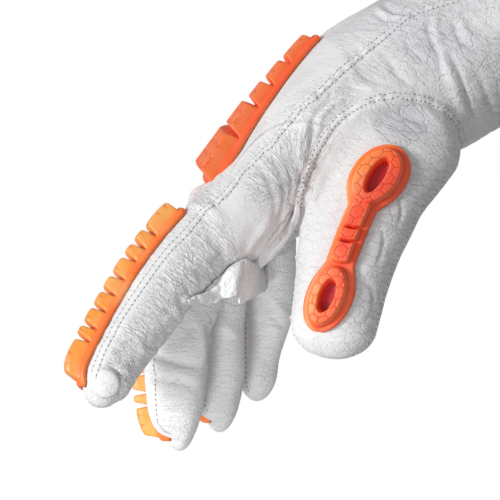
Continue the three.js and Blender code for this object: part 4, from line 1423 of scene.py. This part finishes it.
def thumb_guard():
    upper, lower = THUMB_RINGS
    t = np.arange(upper["at"] - upper["long"] / 2 - 1.6, lower["at"] + lower["long"] / 2 + 1.61,
                  THUMB_GRID["step"])
    half = np.full_like(t, 0.8)
    for ring in THUMB_RINGS:
        away = np.clip(np.abs(t - ring["at"]) / ((ring["long"] + 3.2) / 2), 0, 1)
        half = np.maximum(half, ring["flange"] / 2 * np.sqrt(1 - away**2))
    waist = THUMB_BRIDGE["flange"] / 2 + 0 * t
    half = np.where((t > upper["at"]) & (t < lower["at"]), soft_max(half, waist, 3.0), half)

    def height_of(ts, xs, inside):
        x = xs - thumb_middle(ts)
        tall = BLOCK - 0.6
        raised, hole = thumb_blocks(ts, x, tall)
        line = engraved(x + 2.3, ts, 4.6, 0.2, raised / tall, 0.86)
        groove = np.exp(-(((raised - 0.6) / 0.5) ** 2)) * smoothstep(1.0, 2.0, inside)
        line = np.maximum(line, 0.8 * groove)
        # Redder on the bridge, less so near the edge and in patches
        from_edge = np.maximum(smoothstep(0.8, 4.0, inside), 0.8 * smoothstep(0, 3, -x))
        on_bridge = np.exp(-(((ts - 66) / 15) ** 2))
        patch = 0.12 * noise(np.stack([ts, x, 0 * x], 1), 9, 3)
        redness_and_hole_shade = from_edge * np.clip(0.5 + 0.26 * on_bridge - 0.035 * x + patch, 0, 0.78)
        height = base_height(t, ts, inside, 0.35) + raised - 0.3 * line - 1.2 * hole
        # The rings' holes get the full red and the line colour: painted shade down in them.
        return height, np.maximum(line, 0.9 * hole), np.clip(np.maximum(redness_and_hole_shade, hole), 0, 1)

    low, high = thumb_middle(t) - half, thumb_middle(t) + half
    moulding("thumb_guard", limbs["thumb"], t, low, high, THUMB_GRID["across"], height_of)


for finger in FINGERS:
    finger_guard(finger)
hand_guard()
thumb_guard()


# The floor, the lights and the camera
FLOOR = {"half": 1.6, "at": (-0.1, 0, -0.42)}


def stage():
    mesh = bpy.data.meshes.new("floor")
    corners = [(x * FLOOR["half"], y * FLOOR["half"], 0) for x, y in ((-1, -1), (1, -1), (1, 1), (-1, 1))]
    mesh.from_pydata(corners, [], [(0, 1, 2, 3)])
    mesh.materials.append(floor_material)
    floor = add_object("floor", mesh)
    floor.location = FLOOR["at"]


LIGHTS = (
    {"name": "key", "from": (-0.78, -0.6, 0.08), "angle": 14, "power": 2.35},
    {"name": "front", "from": (-0.3, -1.0, -0.5), "angle": 50, "power": 0.8},
    {"name": "sky", "from": (-0.5, 0.1, 1.0), "angle": 60, "power": 0.05},
)
AMBIENT = 0.38
# A lamp low on the left, which opens the shadows on the fingers behind the index finger
FILL = {"from": (-0.24, -0.4, -0.38), "to": (-0.125, 0.0, -0.168), "cone": 24, "size": 0.05, "power": 4.5}


def add_lamp(kind, name, row, to=(0, 0, 0)):
    data = bpy.data.lights.new(name, kind)
    data.energy = row["power"]
    lamp = add_object(name, data)
    lamp.location = row["from"]
    lamp.rotation_euler = (Vector(to) - Vector(row["from"])).to_track_quat("-Z", "Y").to_euler()
    return data


def lights():
    for row in LIGHTS:
        add_lamp("SUN", row["name"], row).angle = math.radians(row["angle"])
    fill = add_lamp("SPOT", "fill", FILL, FILL["to"])
    fill.spot_size = math.radians(FILL["cone"])
    fill.spot_blend = 1.0
    fill.shadow_soft_size = FILL["size"]
    world = bpy.data.worlds.new("white_room")
    world.use_nodes = True
    tree = world.node_tree
    path = tree.nodes.new("ShaderNodeLightPath")
    strength = tree.nodes.new("ShaderNodeMapRange")
    strength.inputs["To Min"].default_value = AMBIENT
    strength.inputs["To Max"].default_value = 1.0
    tree.links.new(path.outputs["Is Camera Ray"], strength.inputs["Value"])
    tree.links.new(strength.outputs[0], tree.nodes["Background"].inputs["Strength"])
    tree.nodes["Background"].inputs["Color"].default_value = (1, 1, 1, 1)
    bpy.context.scene.world = world


def camera():
    data = bpy.data.cameras.new("camera")
    data.sensor_width = SENSOR
    data.lens = SENSOR * VIEW_DISTANCE / (IMAGE * PIXEL)
    data.clip_end = 20
    eye = add_object("camera", data)
    eye.location = EYE * MM
    eye.rotation_euler = (math.radians(90), 0, 0)
    bpy.context.scene.camera = eye


stage()
lights()
camera()
bpy.context.scene.view_settings.view_transform = "Standard"
